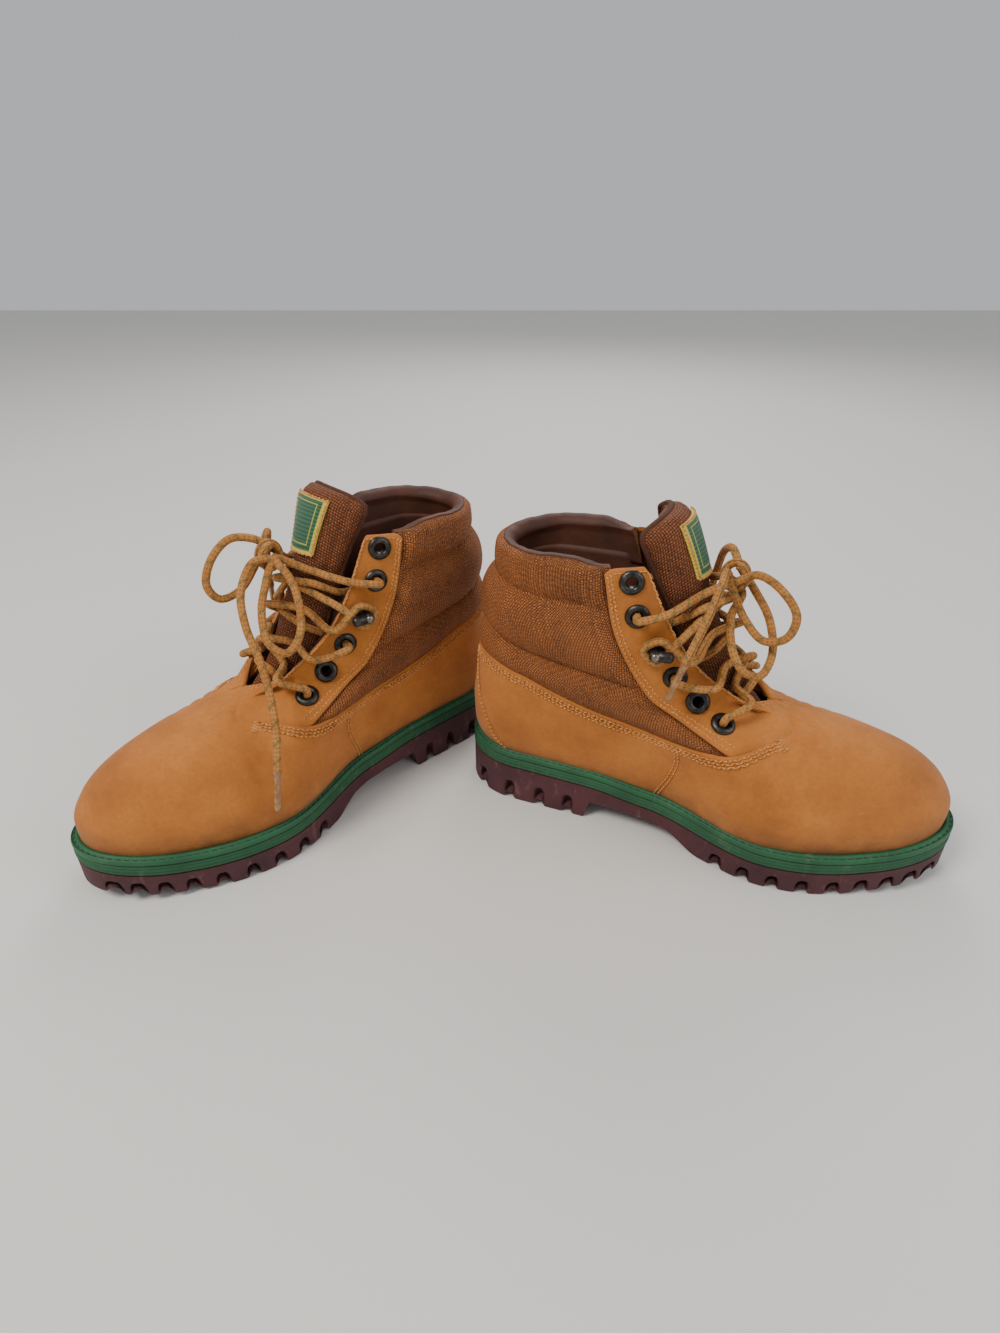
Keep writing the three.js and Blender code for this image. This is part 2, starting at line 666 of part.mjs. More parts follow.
// Over the crest of the tongue from one side to the other, between two stations up the tongue.
function crossTongue(side, from, to, lift) {
  return [0.8, 0, -0.8].map((angle, k) => {
    const raise = OVER_TONGUE + (k === 1 ? lift : lift / 3);
    return tonguePoint(mix(from, to, k / 2), side * angle, -raise);
  });
}

// Around the stem of a hook, under its barrel: in below the stem and out above it.
function passHook(side) {
  const [u, v] = HOOK;
  const normal = fittingNormal(side, u, v);
  const seat = skinPoint(side, u, v).addScaledVector(normal, SKIN_CLEARANCE + LEATHER + HOOK_SEAT);
  const forward = skinPoint(side, 1, v).sub(skinPoint(side, u, v));
  forward.addScaledVector(normal, -forward.dot(normal)).normalize();
  const up = forward.clone().cross(normal).multiplyScalar(-side);
  const at = (ahead, above) => seat.clone().addScaledVector(normal, HOOK_PASS)
    .addScaledVector(forward, ahead).addScaledVector(up, above);
  return [
    offSkin(side, 0.97, v - 0.02, OVER_EYESTAY + 1),
    at(2, -HOOK_TURN), at(-HOOK_TURN, 0), at(2, HOOK_TURN),
    offSkin(side, 0.97, v + 0.03, OVER_EYESTAY),
  ];
}

// One half of the lace, from the bar across the lowest eyelets up to the knot.
function ladder(side, lift) {
  const [second, fourth, sixth] = [EYELETS[1], EYELETS[2], EYELETS[4]];
  return [
    ...passEyelet(side, sixth, false),
    offSkin(side, 0.95, 0.62, OVER_EYESTAY + 1),
    ...crossTongue(side, 0.31, 0.38, lift),
    offSkin(-side, 0.95, 0.695, OVER_EYESTAY + 1.6),
    ...passEyelet(-side, fourth, true),
    offSkin(-side, 1, 0.74, -UNDER_EYESTAY - 1),
    ...crossTongue(-side, 0.44, 0.49, OVER_LACE - lift),
    ...passHook(side),
    ...crossTongue(side, 0.55, 0.58, lift),
    offSkin(-side, 0.97, 0.85, -UNDER_EYESTAY),
    ...passEyelet(-side, second, false),
    offSkin(-side, 0.97, 0.885, OVER_EYESTAY),
    tonguePoint(0.62, -side * 0.6, -OVER_TONGUE - 1),
  ];
}

function laceRoute(bow) {
  const list = (points) => points.map((point) => new THREE.Vector3(...point));
  const bar = [
    offSkin(-1, 0.97, 0.625, -UNDER_EYESTAY),
    ...[-0.5, 0, 0.5].map((angle) => tonguePoint(0.27, angle, -OVER_TONGUE)),
    offSkin(1, 0.97, 0.625, -UNDER_EYESTAY),
  ];
  const lateralHalf = ladder(-1, 0);
  const medialHalf = ladder(1, OVER_LACE);
  return [
    ...list(bow.firstEnd).reverse(),
    ...list(bow.firstLoop).reverse(),
    ...medialHalf.reverse(),
    ...bar.reverse(),
    ...lateralHalf,
    ...list(bow.secondLoop),
    ...list(bow.secondEnd),
  ];
}

function lace(route) {
  const circle = new THREE.Shape();
  circle.absarc(0, 0, LACE_DIAMETER / 2, 0, 2 * Math.PI);
  return new THREE.ExtrudeGeometry(circle, {
    steps: route.length - 1,
    curveSegments: 4,
    extrudePath: new RouteCurve(route),
  });
}

// The stiff tip beyond one end of the lace.
function aglet(end, before) {
  const direction = end.clone().sub(before).normalize();
  const middle = end.clone().addScaledVector(direction, CLEARANCE + AGLET_LENGTH / 2);
  const radius = AGLET_DIAMETER / 2;
  return aim(new THREE.CylinderGeometry(radius, radius, AGLET_LENGTH, 8), direction, middle);
}

// ---------------------------------------------------------------- assembly

function material(color, roughness, metalness = 0) {
  return new THREE.MeshStandardMaterial({ color, roughness, metalness });
}
const NUBUCK = () => material(0xb8742f, 0.85);
const FABRIC = () => material(0x6b4228, 0.9);
const GUNMETAL = () => material(0x3c3a38, 0.35, 0.9);

function boot(prefix, mirrored, bow) {
  const group = new THREE.Group();
  const add = (name, geometry, look) => {
    const shape = bare(geometry);
    if (mirrored) {
      shape.scale(1, -1, 1);
      const index = shape.index.array;
      for (let i = 0; i < index.length; i += 3) [index[i], index[i + 1]] = [index[i + 1], index[i]];
    }
    shape.computeVertexNormals();
    const mesh = new THREE.Mesh(shape, look);
    mesh.name = `${prefix}_${name}`;
    group.add(mesh);
  };
  add('outsole', outsole(), material(0x462328, 0.75));
  add('midsole', midsole(), material(0x2d5037, 0.7));
  add('welt', welt(), material(0x28784b, 0.6));
  add('insole_board', insoleBoard(), material(0x8a7a60, 0.9));
  add('footbed', footbed(), material(0x5a3a28, 0.95));
  add('vamp', vamp(), NUBUCK());
  add('quarter_lateral', quarter(-1), NUBUCK());
  add('quarter_medial', quarter(1), NUBUCK());
  add('heel_strip', heelStrip(), NUBUCK());
  add('eyestay_lateral', eyestay(-1), NUBUCK());
  add('eyestay_medial', eyestay(1), NUBUCK());
  add('quilted_collar', quiltedCollar(), FABRIC());
  add('collar_lining', collarLining(), material(0x5a3228, 0.8));
  add('tongue', tongue(), FABRIC());
  add('tongue_label', tongueLabel(), material(0x285a3c, 0.7));
  for (const [side, name] of [[-1, 'lateral'], [1, 'medial']]) {
    EYELETS.forEach((spot, k) => add(`eyelet_${name}_${k + 1}`, eyelet(side, spot), GUNMETAL()));
    add(`hook_${name}`, hook(side, HOOK), GUNMETAL());
  }
  const route = laceRoute(bow);
  add('lace', lace(route), material(0xc88c4b, 0.8));
  add('aglet_lateral', aglet(route[0], route[1]), material(0x8a6a40, 0.4));
  add('aglet_medial', aglet(route.at(-1), route.at(-2)), material(0x8a6a40, 0.4));
  return group;
}

const pair = new THREE.Group();
const right = boot('right', false, RIGHT_BOW);
const left = boot('left', true, LEFT_BOW);
right.position.set(...RIGHT_HEEL, 0);
right.rotation.z = THREE.MathUtils.degToRad(RIGHT_TURN);
left.position.set(...LEFT_HEEL, 0);
left.rotation.z = THREE.MathUtils.degToRad(LEFT_TURN);
pair.add(right, left);

// The origin is on the floor, under the middle of the pair without its laces.
pair.updateMatrixWorld(true);
const extent = new THREE.Box3();
pair.traverse((piece) => {
  if (piece.isMesh && !/lace|aglet/.test(piece.name)) extent.expandByObject(piece, true);
});
const middle = extent.getCenter(new THREE.Vector3());
pair.position.set(-middle.x, -middle.y, -extent.min.z);

export default pair;
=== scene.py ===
"""A pair of lace-up hiking boots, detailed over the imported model, in the row frame (metres, +Z up).

Each boot is made in its shoe frame, in millimetres: x from heel to toe, y to the wearer's left,
z up, for the right shoe. The left shoe is its mirror image in y.
"""
import math

import bpy
import bmesh
import numpy as np
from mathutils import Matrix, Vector


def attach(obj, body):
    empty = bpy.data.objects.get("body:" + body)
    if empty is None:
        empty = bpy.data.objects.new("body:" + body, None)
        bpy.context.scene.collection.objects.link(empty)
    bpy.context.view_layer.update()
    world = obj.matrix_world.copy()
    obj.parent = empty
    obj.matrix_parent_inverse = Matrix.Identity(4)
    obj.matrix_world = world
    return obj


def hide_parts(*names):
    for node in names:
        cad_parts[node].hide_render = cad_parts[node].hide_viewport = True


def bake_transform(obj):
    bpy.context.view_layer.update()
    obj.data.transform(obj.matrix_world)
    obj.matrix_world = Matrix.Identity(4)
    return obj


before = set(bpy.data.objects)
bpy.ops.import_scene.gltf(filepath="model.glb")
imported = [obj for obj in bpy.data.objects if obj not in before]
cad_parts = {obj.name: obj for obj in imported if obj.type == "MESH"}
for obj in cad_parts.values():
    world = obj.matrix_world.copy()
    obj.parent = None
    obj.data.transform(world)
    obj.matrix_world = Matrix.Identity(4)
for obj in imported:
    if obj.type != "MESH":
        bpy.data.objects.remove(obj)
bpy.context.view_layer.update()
TAU = 2 * math.pi

# ---------------------------------------------------------------- sizes shared with the part

SOLE_LENGTH = 300
SOLE_STATIONS = [0.14, 0.42, 0.68, 0.85]
LATERAL_HALF_WIDTHS = [33, 34, 55, 50]
MEDIAL_HALF_WIDTHS = [33, 30, 49, 45]
TOE_SWING = 6
SOLE_HEEL_CAP = 0.13
SOLE_TOE_CAP = 0.28
MIDSOLE = 7.5
UPPER_SEAT = 0.8
TREAD = [(0, 0), (87, 0), (92, 13), (140, 9), (164, 0), (225, 0), (300, 9)]
HEEL_NOTCHES = [0.05, 0.12, 0.19, 0.255]
FOREFOOT_NOTCHES = [0.58, 0.635, 0.69, 0.745, 0.8, 0.85, 0.895, 0.935, 0.968]
OUTSOLE_TOPS = [(0, 27), (0.3, 25), (0.42, 20), (0.65, 15.5), (0.8, 16), (1, 24)]

LEVELS = [0, 0.12, 0.25, 0.38, 0.5, 0.58, 0.8, 1]
BACK_X = [6.8, 3, 2.5, 4, 6, 8, 12, 20]
BACK_Z = [35, 50, 66, 82, 98, 109, 142, 174]
FRONT_X = [293.2, 293, 286, 264, 225, 186, 134, 110]
FRONT_Z = [32, 46, 61, 77, 85, 94, 136, 179]
HEEL_CAP = [0.13, 0.13, 0.13, 0.14, 0.17, 0.2, 0.27, 0.32]
TOE_CAP = [0.30, 0.30, 0.34, 0.42, 0.5, 0.45, 0.35, 0.32]
THROAT = 0.58
RING_STATIONS = [0.1, 0.42, 0.68, 0.85]
LATERAL_RINGS = [
    [26.8, 26.8, 47.8, 42.8], [31, 31, 52, 47], [31.5, 32, 49, 44], [31.5, 33, 46, 38],
    [31, 34, 41, 34], [30, 34, 36, 33], [30, 36, 36, 34], [31, 37, 37, 35],
]
MEDIAL_RINGS = [
    [26.8, 23.3, 41.8, 37.8], [31, 27, 46, 41], [31.5, 30, 43, 37], [31.5, 31, 37, 30],
    [31, 32, 32, 26], [30, 32, 30, 28], [30, 34, 33, 32], [31, 35, 35, 34],
]
QUARTER_TOP = [
    (0, 0.54), (0.15, 0.55), (0.28, 0.53), (0.34, 0.48), (0.42, 0.41), (0.5, 0.385),
    (0.58, 0.4), (0.68, 0.46), (1, 0.58),
]
EYESTAY_REAR = [(0.4, 0.6), (0.5, 0.595), (0.72, 0.63), (0.88, 0.655), (1, 0.68)]
EYELETS = [(0.79, 0.965), (0.76, 0.875), (0.755, 0.7), (0.73, 0.615), (0.68, 0.53)]
HOOK = (0.765, 0.785)
TONGUE = [
    (201, 79, 194, 72, 14), (186, 89, 174, 78, 13.5), (170, 106, 156, 92, 13),
    (156, 131, 136, 117, 18), (145, 154, 122, 145, 18), (134, 178, 109, 172, 21),
    (124, 199, 103, 190, 27), (119, 204, 103, 196, 26),
]
LACE = 4.6
OVER_TONGUE = 4.8
OVER_LACE = 5.2
UNDER_EYESTAY = 5.8
OVER_EYESTAY = 6.5

RIGHT_BOW = {
    "first_loop": [
        (156, -5, 168), (167, -8, 175), (180, -12, 170), (190, -14, 157), (187, -15, 144),
        (176, -14, 140), (164, -9, 149), (156, -6, 162), (151, -8, 174),
    ],
    "first_end": [(150, -20, 172), (147, -31, 159), (143, -39, 146), (139, -44, 133)],
    "second_loop": [
        (152, 4, 166), (160, 5, 158), (157, -12, 151), (161, -24, 137), (169, -27, 126),
        (178, -21, 122), (182, -9, 130), (177, 1, 146), (166, 5, 161), (157, 6, 172),
    ],
    "second_end": [(151, 12, 180), (146, 24, 174), (143, 35, 160), (141, 43, 145), (139, 47, 131)],
    "knot": (155, -1, 170),
}
LEFT_BOW = {
    "first_loop": [
        (158, -6, 172), (156, -18, 162), (158, -28, 147), (164, -34, 134), (173, -34, 127),
        (179, -26, 132), (175, -15, 147), (166, -8, 161), (161, -7, 172),
    ],
    "first_end": [
        (170, -4, 172), (181, -6, 158), (187, -18, 143), (188, -31, 126), (191, -43, 108),
        (196, -53, 90), (202, -59, 72),
    ],
    "second_loop": [
        (154, 4, 174), (164, 5, 182), (176, 8, 184), (188, 9, 175), (194, 8, 161), (189, 6, 152),
        (178, 4, 154), (166, 4, 166),
    ],
    "second_end": [(152, 12, 180), (146, 24, 174), (143, 35, 160), (141, 43, 145), (139, 47, 131)],
    "knot": (158, -1, 172),
}

# ---------------------------------------------------------------- sizes of the details made here

SIDES = ((-1, "lateral"), (1, "medial"))
BRAID_PITCH = 5.2
BRAID_RELIEF = 0.06
PANEL_BASE = 0.15
STITCH_LIFT = 2.35
SEAM_STITCH = (2.8, 2.2, 0.42, 0.0)
SEAM_TOP = 0.39
EYESTAY_FOOT = 0.42
EYESTAY_FRONT = 0.985
PUNCH_RADIUS = 3.6
PUNCH_DEPTH = 8
UPPER_QUILT_SEAM = (0.91, 0.88)
LOWER_QUILT_SEAM = (0.69, 0.63)
QUILT_SEAM_END = 0.6
UNDER_EYESTAY_MARGIN = 0.035
UNDER_QUARTER_MARGIN = 0.05
COLLAR_SEAT = -1.3
RIM_THICKNESS = 8.0
ROLL_HEIGHT = 5.0
TONGUE_EDGE = 1.35
TONGUE_QUILT = 0.6
TONGUE_PILLOW = 3.4
LABEL_EDGE = 0.55
LABEL_FOOT = 0.66
LABEL_TOP = 0.86

# ---------------------------------------------------------------- small maths on arrays


def mix(a, b, t):
    """From a at t = 0 to b at t = 1."""
    return a + (b - a) * t


def smooth(t):
    """An eased step: 0 below 0, 1 above 1."""
    t = np.clip(t, 0, 1)
    return t * t * (3 - 2 * t)


def through(places, values, x):
    """A smooth curve, without overshoot, through values that may vary from point to point."""
    x = np.asarray(x, float)
    values = [np.broadcast_to(np.asarray(value, float), x.shape) for value in values]
    spans = np.diff(places)
    grades = [(values[i + 1] - values[i]) / span for i, span in enumerate(spans)]
    slopes = [grades[0]]
    for before, after in zip(grades, grades[1:]):
        same = before * after > 0
        slopes.append(np.where(same, 2 * before * after / np.where(same, before + after, 1), 0))
    slopes.append(grades[-1])
    result = values[0] + 0 * x
    for i, span in enumerate(spans):
        t = np.clip((x - places[i]) / span, 0, 1)
        start = values[i] * (1 + 2 * t) * (1 - t) ** 2 + span * slopes[i] * t * (1 - t) ** 2
        end = values[i + 1] * t * t * (3 - 2 * t) + span * slopes[i + 1] * t * t * (t - 1)
        result = np.where(x >= places[i], start + end, result)
    return result


def along(pairs, x):
    """A smooth curve through (place, value) pairs."""
    places, values = zip(*pairs)
    return through(places, values, x)


def same_shape(*arrays):
    """Arrays of numbers brought to one shape."""
    return np.broadcast_arrays(*[np.asarray(array, float) for array in arrays])


def both_sides(a):
    """For shares that run over both sides of a boot: the side, and how far from the middle."""
    return np.where(a < 0.5, -1.0, 1.0), np.abs(2 * a - 1)


def unit(vectors):
    """Vectors at length one."""
    return vectors / np.maximum(np.linalg.norm(vectors, axis=-1, keepdims=True), 1e-9)


def ripple(x, y, seed=0):
    """A gentle uneven wave between about -1 and 1."""
    waves = [(1, 0.6, 0.3), (-0.7, 1.1, 1.7), (1.6, -1.3, 2.9), (0.5, 2.1, 4.1)]
    total = sum(np.sin(a * x + b * y + c * (seed + 1)) for a, b, c in waves)
    return total / 2.6


def catmull(points, step):
    """A centripetal Catmull-Rom line through points, resampled to even steps."""
    points = np.asarray(points, float)
    first = 2 * points[0] - points[1]
    last = 2 * points[-1] - points[-2]
    padded_points = np.vstack([first, points, last])
    pieces = []
    for i in range(len(points) - 1):
        p0, p1, p2, p3 = padded_points[i : i + 4]
        t1 = math.sqrt(np.linalg.norm(p1 - p0)) + 1e-6
        t2 = t1 + math.sqrt(np.linalg.norm(p2 - p1)) + 1e-6
        t3 = t2 + math.sqrt(np.linalg.norm(p3 - p2)) + 1e-6
        t = np.linspace(t1, t2, 24, endpoint=False)[:, None]
        a1 = (t1 - t) / t1 * p0 + t / t1 * p1
        a2 = (t2 - t) / (t2 - t1) * p1 + (t - t1) / (t2 - t1) * p2
        a3 = (t3 - t) / (t3 - t2) * p2 + (t - t2) / (t3 - t2) * p3
        b1 = (t2 - t) / t2 * a1 + t / t2 * a2
        b2 = (t3 - t) / (t3 - t1) * a2 + (t - t1) / (t3 - t1) * a3
        pieces.append((t2 - t) / (t2 - t1) * b1 + (t - t1) / (t2 - t1) * b2)
    line = np.vstack(pieces + [points[-1:]])
    return even(line, step)


def distances(line):
    """How far along a line each of its points lies."""
    return np.concatenate([[0], np.cumsum(np.linalg.norm(np.diff(line, axis=0), axis=1))])


def sampled(vectors, lengths, at):
    """Vectors given at lengths along a line, read at other places along it."""
    return np.stack([np.interp(at, lengths, vectors[:, k]) for k in range(3)], axis=1)


def even(line, step):
    """The same line with its points an even step apart."""
    lengths = distances(line)
    count = max(2, int(round(lengths[-1] / step)) + 1)
    return sampled(line, lengths, np.linspace(0, lengths[-1], count))


# ---------------------------------------------------------------- the upper's surface


def level(values, v):
    """A value that is listed for each height level of the upper."""
    return through(LEVELS, values, v)


def swing(x):
    """How far the sole bends toward the inner side at its toe."""
    return TOE_SWING * smooth((x / SOLE_LENGTH - 0.5) / 0.5)


def outsole_top(x):
    """Height of the outsole under the midsole."""
    return along(OUTSOLE_TOPS, np.asarray(x) / SOLE_LENGTH)


def quarter_top(u):
    """Height share at which the nubuck ends and the collar begins."""
    return along(QUARTER_TOP, u)


def vamp_top(u):
    """The nubuck's top edge, which rises a little at the throat to cover the eyestays' feet."""
    return np.minimum(THROAT - 0.0001, quarter_top(u) + 0.02 * smooth((u - 0.85) / 0.08))


def seam_u(v):
    """Place of the seam between quarter and vamp."""
    return mix(0.465, 0.525, np.clip(v / 0.4, 0, 1))


def eyestay_rear(v):
    """Place of an eyestay's rear edge."""
    return along(EYESTAY_REAR, v)


def strip_u(b):
    """Place of the heel strip's edge."""
    return mix(0.19, 0.05, b)


def skin(side, u, v):
    """Points on the upper's surface: side -1 or 1, u from back to front, v from the sole to the rim."""
    side, u, v = same_shape(side, u, v)
    t = (1 - np.cos(math.pi * u)) / 2
    x = mix(level(BACK_X, v), level(FRONT_X, v), t)
    lateral = [level([ring[k] for ring in LATERAL_RINGS], v) for k in range(4)]
    medial = [level([ring[k] for ring in MEDIAL_RINGS], v) for k in range(4)]
    widths = [np.where(side < 0, a, b) for a, b in zip(lateral, medial)]
    half = through(RING_STATIONS, widths, t)
    heel_cap = level(HEEL_CAP, v)
    heel = np.where(t < heel_cap, np.sqrt(np.maximum(0, 1 - (1 - t / heel_cap) ** 2)), 1)
    toe_cap = level(TOE_CAP, v)
    bend = np.maximum(0, (t - 1 + toe_cap) / toe_cap) ** 2
    toe = np.maximum(0, 1 - bend) ** mix(0.5, 1, smooth((v - 0.5) / 0.15))
    gap = np.where(v <= THROAT, 0, mix(15, 27, smooth((v - THROAT) / 0.2)))
    y = swing(x) + side * mix(gap, half, toe) * heel
    base = mix(level(BACK_Z, 0), level(FRONT_Z, 0), t)
    feather = outsole_top(x) + MIDSOLE + UPPER_SEAT - base
    z = mix(level(BACK_Z, v), level(FRONT_Z, v), t) + feather * np.clip(1 - v / THROAT, 0, 1) ** 1.5
    return np.stack([x, y, z], axis=-1)


def skin_normal(side, u, v, step=0.004):
    """The skin's outward directions."""
    side, u, v = same_shape(side, u, v)
    throat = v > THROAT
    low = np.maximum(v - step, np.where(throat, THROAT + 1e-6, 0))
    high = np.minimum(v + step, np.where(throat, 1, THROAT))
    across = skin(side, np.minimum(1, u + step), v) - skin(side, np.maximum(0, u - step), v)
    up = skin(side, u, high) - skin(side, u, low)
    normal = np.cross(across, up) * -side[..., None]
    middle = (u <= 0) | ((u >= 1) & ~throat)
    normal[..., 1] = np.where(middle, 0, normal[..., 1])
    return unit(normal)


def off_skin(side, u, v, distance):
    """Points a distance outside the skin, or inside it where that is negative."""
    distance = np.asarray(distance, float)
    return skin(side, u, v) + skin_normal(side, u, v) * distance[..., None]


def tongue_point(s, angle, depth):
    """Points of the tongue: s up it, angle round it, depth into its padding."""
    places = np.linspace(0, 1, len(TONGUE))
    s = np.asarray(s, float)
    crest_x, crest_z, edge_x, edge_z, half = (through(places, column, s) for column in zip(*TONGUE))
    reach = np.hypot(crest_x - edge_x, crest_z - edge_z)
    bulge = np.cos(angle) * (1 - depth / reach)
    half = half - depth * np.abs(np.sin(angle)) * 0.8
    x = edge_x + (crest_x - edge_x) * bulge - depth * 0.1
    z = edge_z + (crest_z - edge_z) * bulge
    return np.stack(np.broadcast_arrays(x, half * np.sin(angle), z), axis=-1)


# ---------------------------------------------------------------- lace routes


def fitting_frame(side, spot):
    """A fitting's place on an eyestay, its outward direction and the one toward the throat."""
    u, v = spot
    place = skin(side, u, v)
    normal = skin_normal(side, u, v, 0.035)
    forward = skin(side, 1, v) - place
    forward = unit(forward - normal * np.dot(forward, normal))
    return place, normal, forward


def pass_eyelet(side, spot, inward):
    """Three points through an eyelet, from outside in or from inside out."""
    place, normal, _ = fitting_frame(side, spot)
    passing = [place + normal * distance for distance in (9.5, 1.5, -6)]
    return passing if inward else passing[::-1]


def cross_tongue(side, low, high, lift):
    """Three points over the tongue, from side to side."""
    raises = [OVER_TONGUE + lift / 3, OVER_TONGUE + lift, OVER_TONGUE + lift / 3]
    return [
        tongue_point(mix(low, high, k / 2), side * angle, -raised)
        for k, (angle, raised) in enumerate(zip((0.8, 0, -0.8), raises))
    ]


def pass_hook(side):
    """Points round a hook's stem."""
    place, normal, forward = fitting_frame(side, HOOK)
    seat = place + normal * 2.75
    up = np.cross(forward, normal) * -side
    turns = [seat + normal * 4.3 + forward * a + up * b for a, b in ((2, -6.4), (-6.4, 0), (2, 6.4))]
    before = off_skin(side, 0.97, HOOK[1] - 0.02, 7.5)
    after = off_skin(side, 0.97, HOOK[1] + 0.03, OVER_EYESTAY)
    return [before, *turns, after]


def ladder(side, lift):
    """One half of the lace, from the bar across the lowest eyelets up to the knot."""
    return [
        *pass_eyelet(side, EYELETS[4], False),
        off_skin(side, 0.95, 0.62, 7.5),
        *cross_tongue(side, 0.31, 0.38, lift),
        off_skin(-side, 0.95, 0.695, 8.1),
        *pass_eyelet(-side, EYELETS[2], True),
        off_skin(-side, 1, 0.74, -UNDER_EYESTAY - 1),
        *cross_tongue(-side, 0.44, 0.49, OVER_LACE - lift),
        *pass_hook(side),
        *cross_tongue(side, 0.55, 0.58, lift),
        off_skin(-side, 0.97, 0.85, -UNDER_EYESTAY),
        *pass_eyelet(-side, EYELETS[1], False),
        off_skin(-side, 0.97, 0.885, OVER_EYESTAY),
        tongue_point(0.62, -side * 0.6, -OVER_TONGUE - 1),
    ]


def lace_route(bow):
    """The whole lace, from one free end through both ladders to the other."""
    bar = [
        off_skin(-1, 0.97, 0.625, -UNDER_EYESTAY),
        *[tongue_point(0.27, angle, -OVER_TONGUE) for angle in (-0.5, 0, 0.5)],
        off_skin(1, 0.97, 0.625, -UNDER_EYESTAY),
    ]
    parts = [
        *bow["first_end"][::-1], *bow["first_loop"][::-1], *ladder(1, OVER_LACE)[::-1], *bar[::-1],
        *ladder(-1, 0), *bow["second_loop"], *bow["second_end"],
    ]
    return np.array([np.asarray(point, float) for point in parts])


# ---------------------------------------------------------------- meshes as arrays


def shell(outer, inner):
    """Points and faces of the closed solid between two grids of points."""
    rows, columns = outer.shape[:2]
    points = np.concatenate([outer.reshape(-1, 3), inner.reshape(-1, 3)])
    index = np.arange(rows * columns).reshape(rows, columns)
    other = index + rows * columns
    top = np.stack([index[:-1, :-1], index[:-1, 1:], index[1:, 1:], index[1:, :-1]], -1)
    bottom = np.stack([other[:-1, :-1], other[1:, :-1], other[1:, 1:], other[:-1, 1:]], -1)
    rim = np.concatenate([index[0, :-1], index[:-1, -1], index[-1, :0:-1], index[:0:-1, 0]])
    following = np.roll(rim, -1)
    wall = np.stack([rim, rim + rows * columns, following + rows * columns, following], -1)
    return points, np.concatenate([top.reshape(-1, 4), bottom.reshape(-1, 4), wall])


def shell_uv(face):
    """The cloth's places, in millimetres, for both of a shell's grids of points."""
    cloth = arc_lengths(face).reshape(-1, 2)
    return np.concatenate([cloth, cloth])


def loft(sections, closed=False, caps=True):
    """Points and faces through rings of points: (count, ring, 3). Open ends are capped if asked."""
    count, ring = sections.shape[:2]
    index = np.arange(count * ring).reshape(count, ring)
    ahead = np.roll(index, -1, axis=0) if closed else index[1:]
    here = index if closed else index[:-1]
    quads = np.stack(
        [here, np.roll(here, -1, axis=1), np.roll(ahead, -1, axis=1), ahead], -1
    ).reshape(-1, 4)
    faces = quads.tolist()
    if caps and not closed:
        faces += [index[0, ::-1].tolist(), index[-1].tolist()]
    return sections.reshape(-1, 3), faces


def sides_along(line):
    """Two directions square to a line at each of its points, with as little twist as it allows."""
    tangents = unit(np.gradient(line, axis=0))
    side = np.cross(tangents[0], (0.1, 0.2, 1.0))
    side /= np.linalg.norm(side)
    sides = []
    for tangent in tangents:
        side = side - tangent * np.dot(side, tangent)
        side /= np.linalg.norm(side)
        sides.append(side)
    sides = np.array(sides)
    return sides, np.cross(tangents, sides)


def tube(line, radius, around, braid=0.0):
    """A tube along a line. braid raises crossing strands by that height."""
    first, second = sides_along(line)
    lengths = distances(line)
    turn = np.arange(around)[None, :] * TAU / around
    run = lengths[:, None] * TAU / BRAID_PITCH
    strands = np.sin(4 * turn + run) * np.sin(4 * turn - run)
    size = radius + braid * strands
    ring = first[:, None] * (np.cos(turn) * size)[..., None]
    ring = ring + second[:, None] * (np.sin(turn) * size)[..., None]
    points, faces = loft(line[:, None] + ring)
    uv = np.stack(np.broadcast_arrays(turn / TAU, lengths[:, None]), -1).reshape(-1, 2)
    return points, faces, uv


def lathe(profile, place, axis, forward, segments=32):
    """A turned solid: profile is a closed list of (radius, height) along an axis from a place."""
    axis = unit(np.asarray(axis, float))
    forward = unit(forward - axis * np.dot(forward, axis))
    across = np.cross(axis, forward)
    turns = np.arange(segments) * TAU / segments
    spokes = np.cos(turns)[:, None] * forward + np.sin(turns)[:, None] * across
    profile = np.asarray(profile, float)
    rings = place + spokes[:, None] * profile[None, :, :1] + axis * profile[None, :, 1:]
    return loft(rings, closed=True)


def joined(*parts):
    """Several points-and-faces parts as one."""
    points, faces, start = [], [], 0
    for part_points, part_faces in parts:
        points.append(part_points)
        faces += [[corner + start for corner in face] for face in part_faces]
        start += len(part_points)
    return np.concatenate(points), faces


def arc_lengths(grid):
    """Each grid point's distance along its row and along its column: a cloth's own coordinates."""
    steps_u = np.linalg.norm(np.diff(grid, axis=1), axis=2)
    steps_v = np.linalg.norm(np.diff(grid, axis=0), axis=2)
    u = np.concatenate([np.zeros((len(grid), 1)), np.cumsum(steps_u, axis=1)], axis=1)
    u -= u.mean(axis=1, keepdims=True)
    v = np.concatenate([np.zeros((1, grid.shape[1])), np.cumsum(steps_v, axis=0)], axis=0)
    return np.stack([u, v], -1)


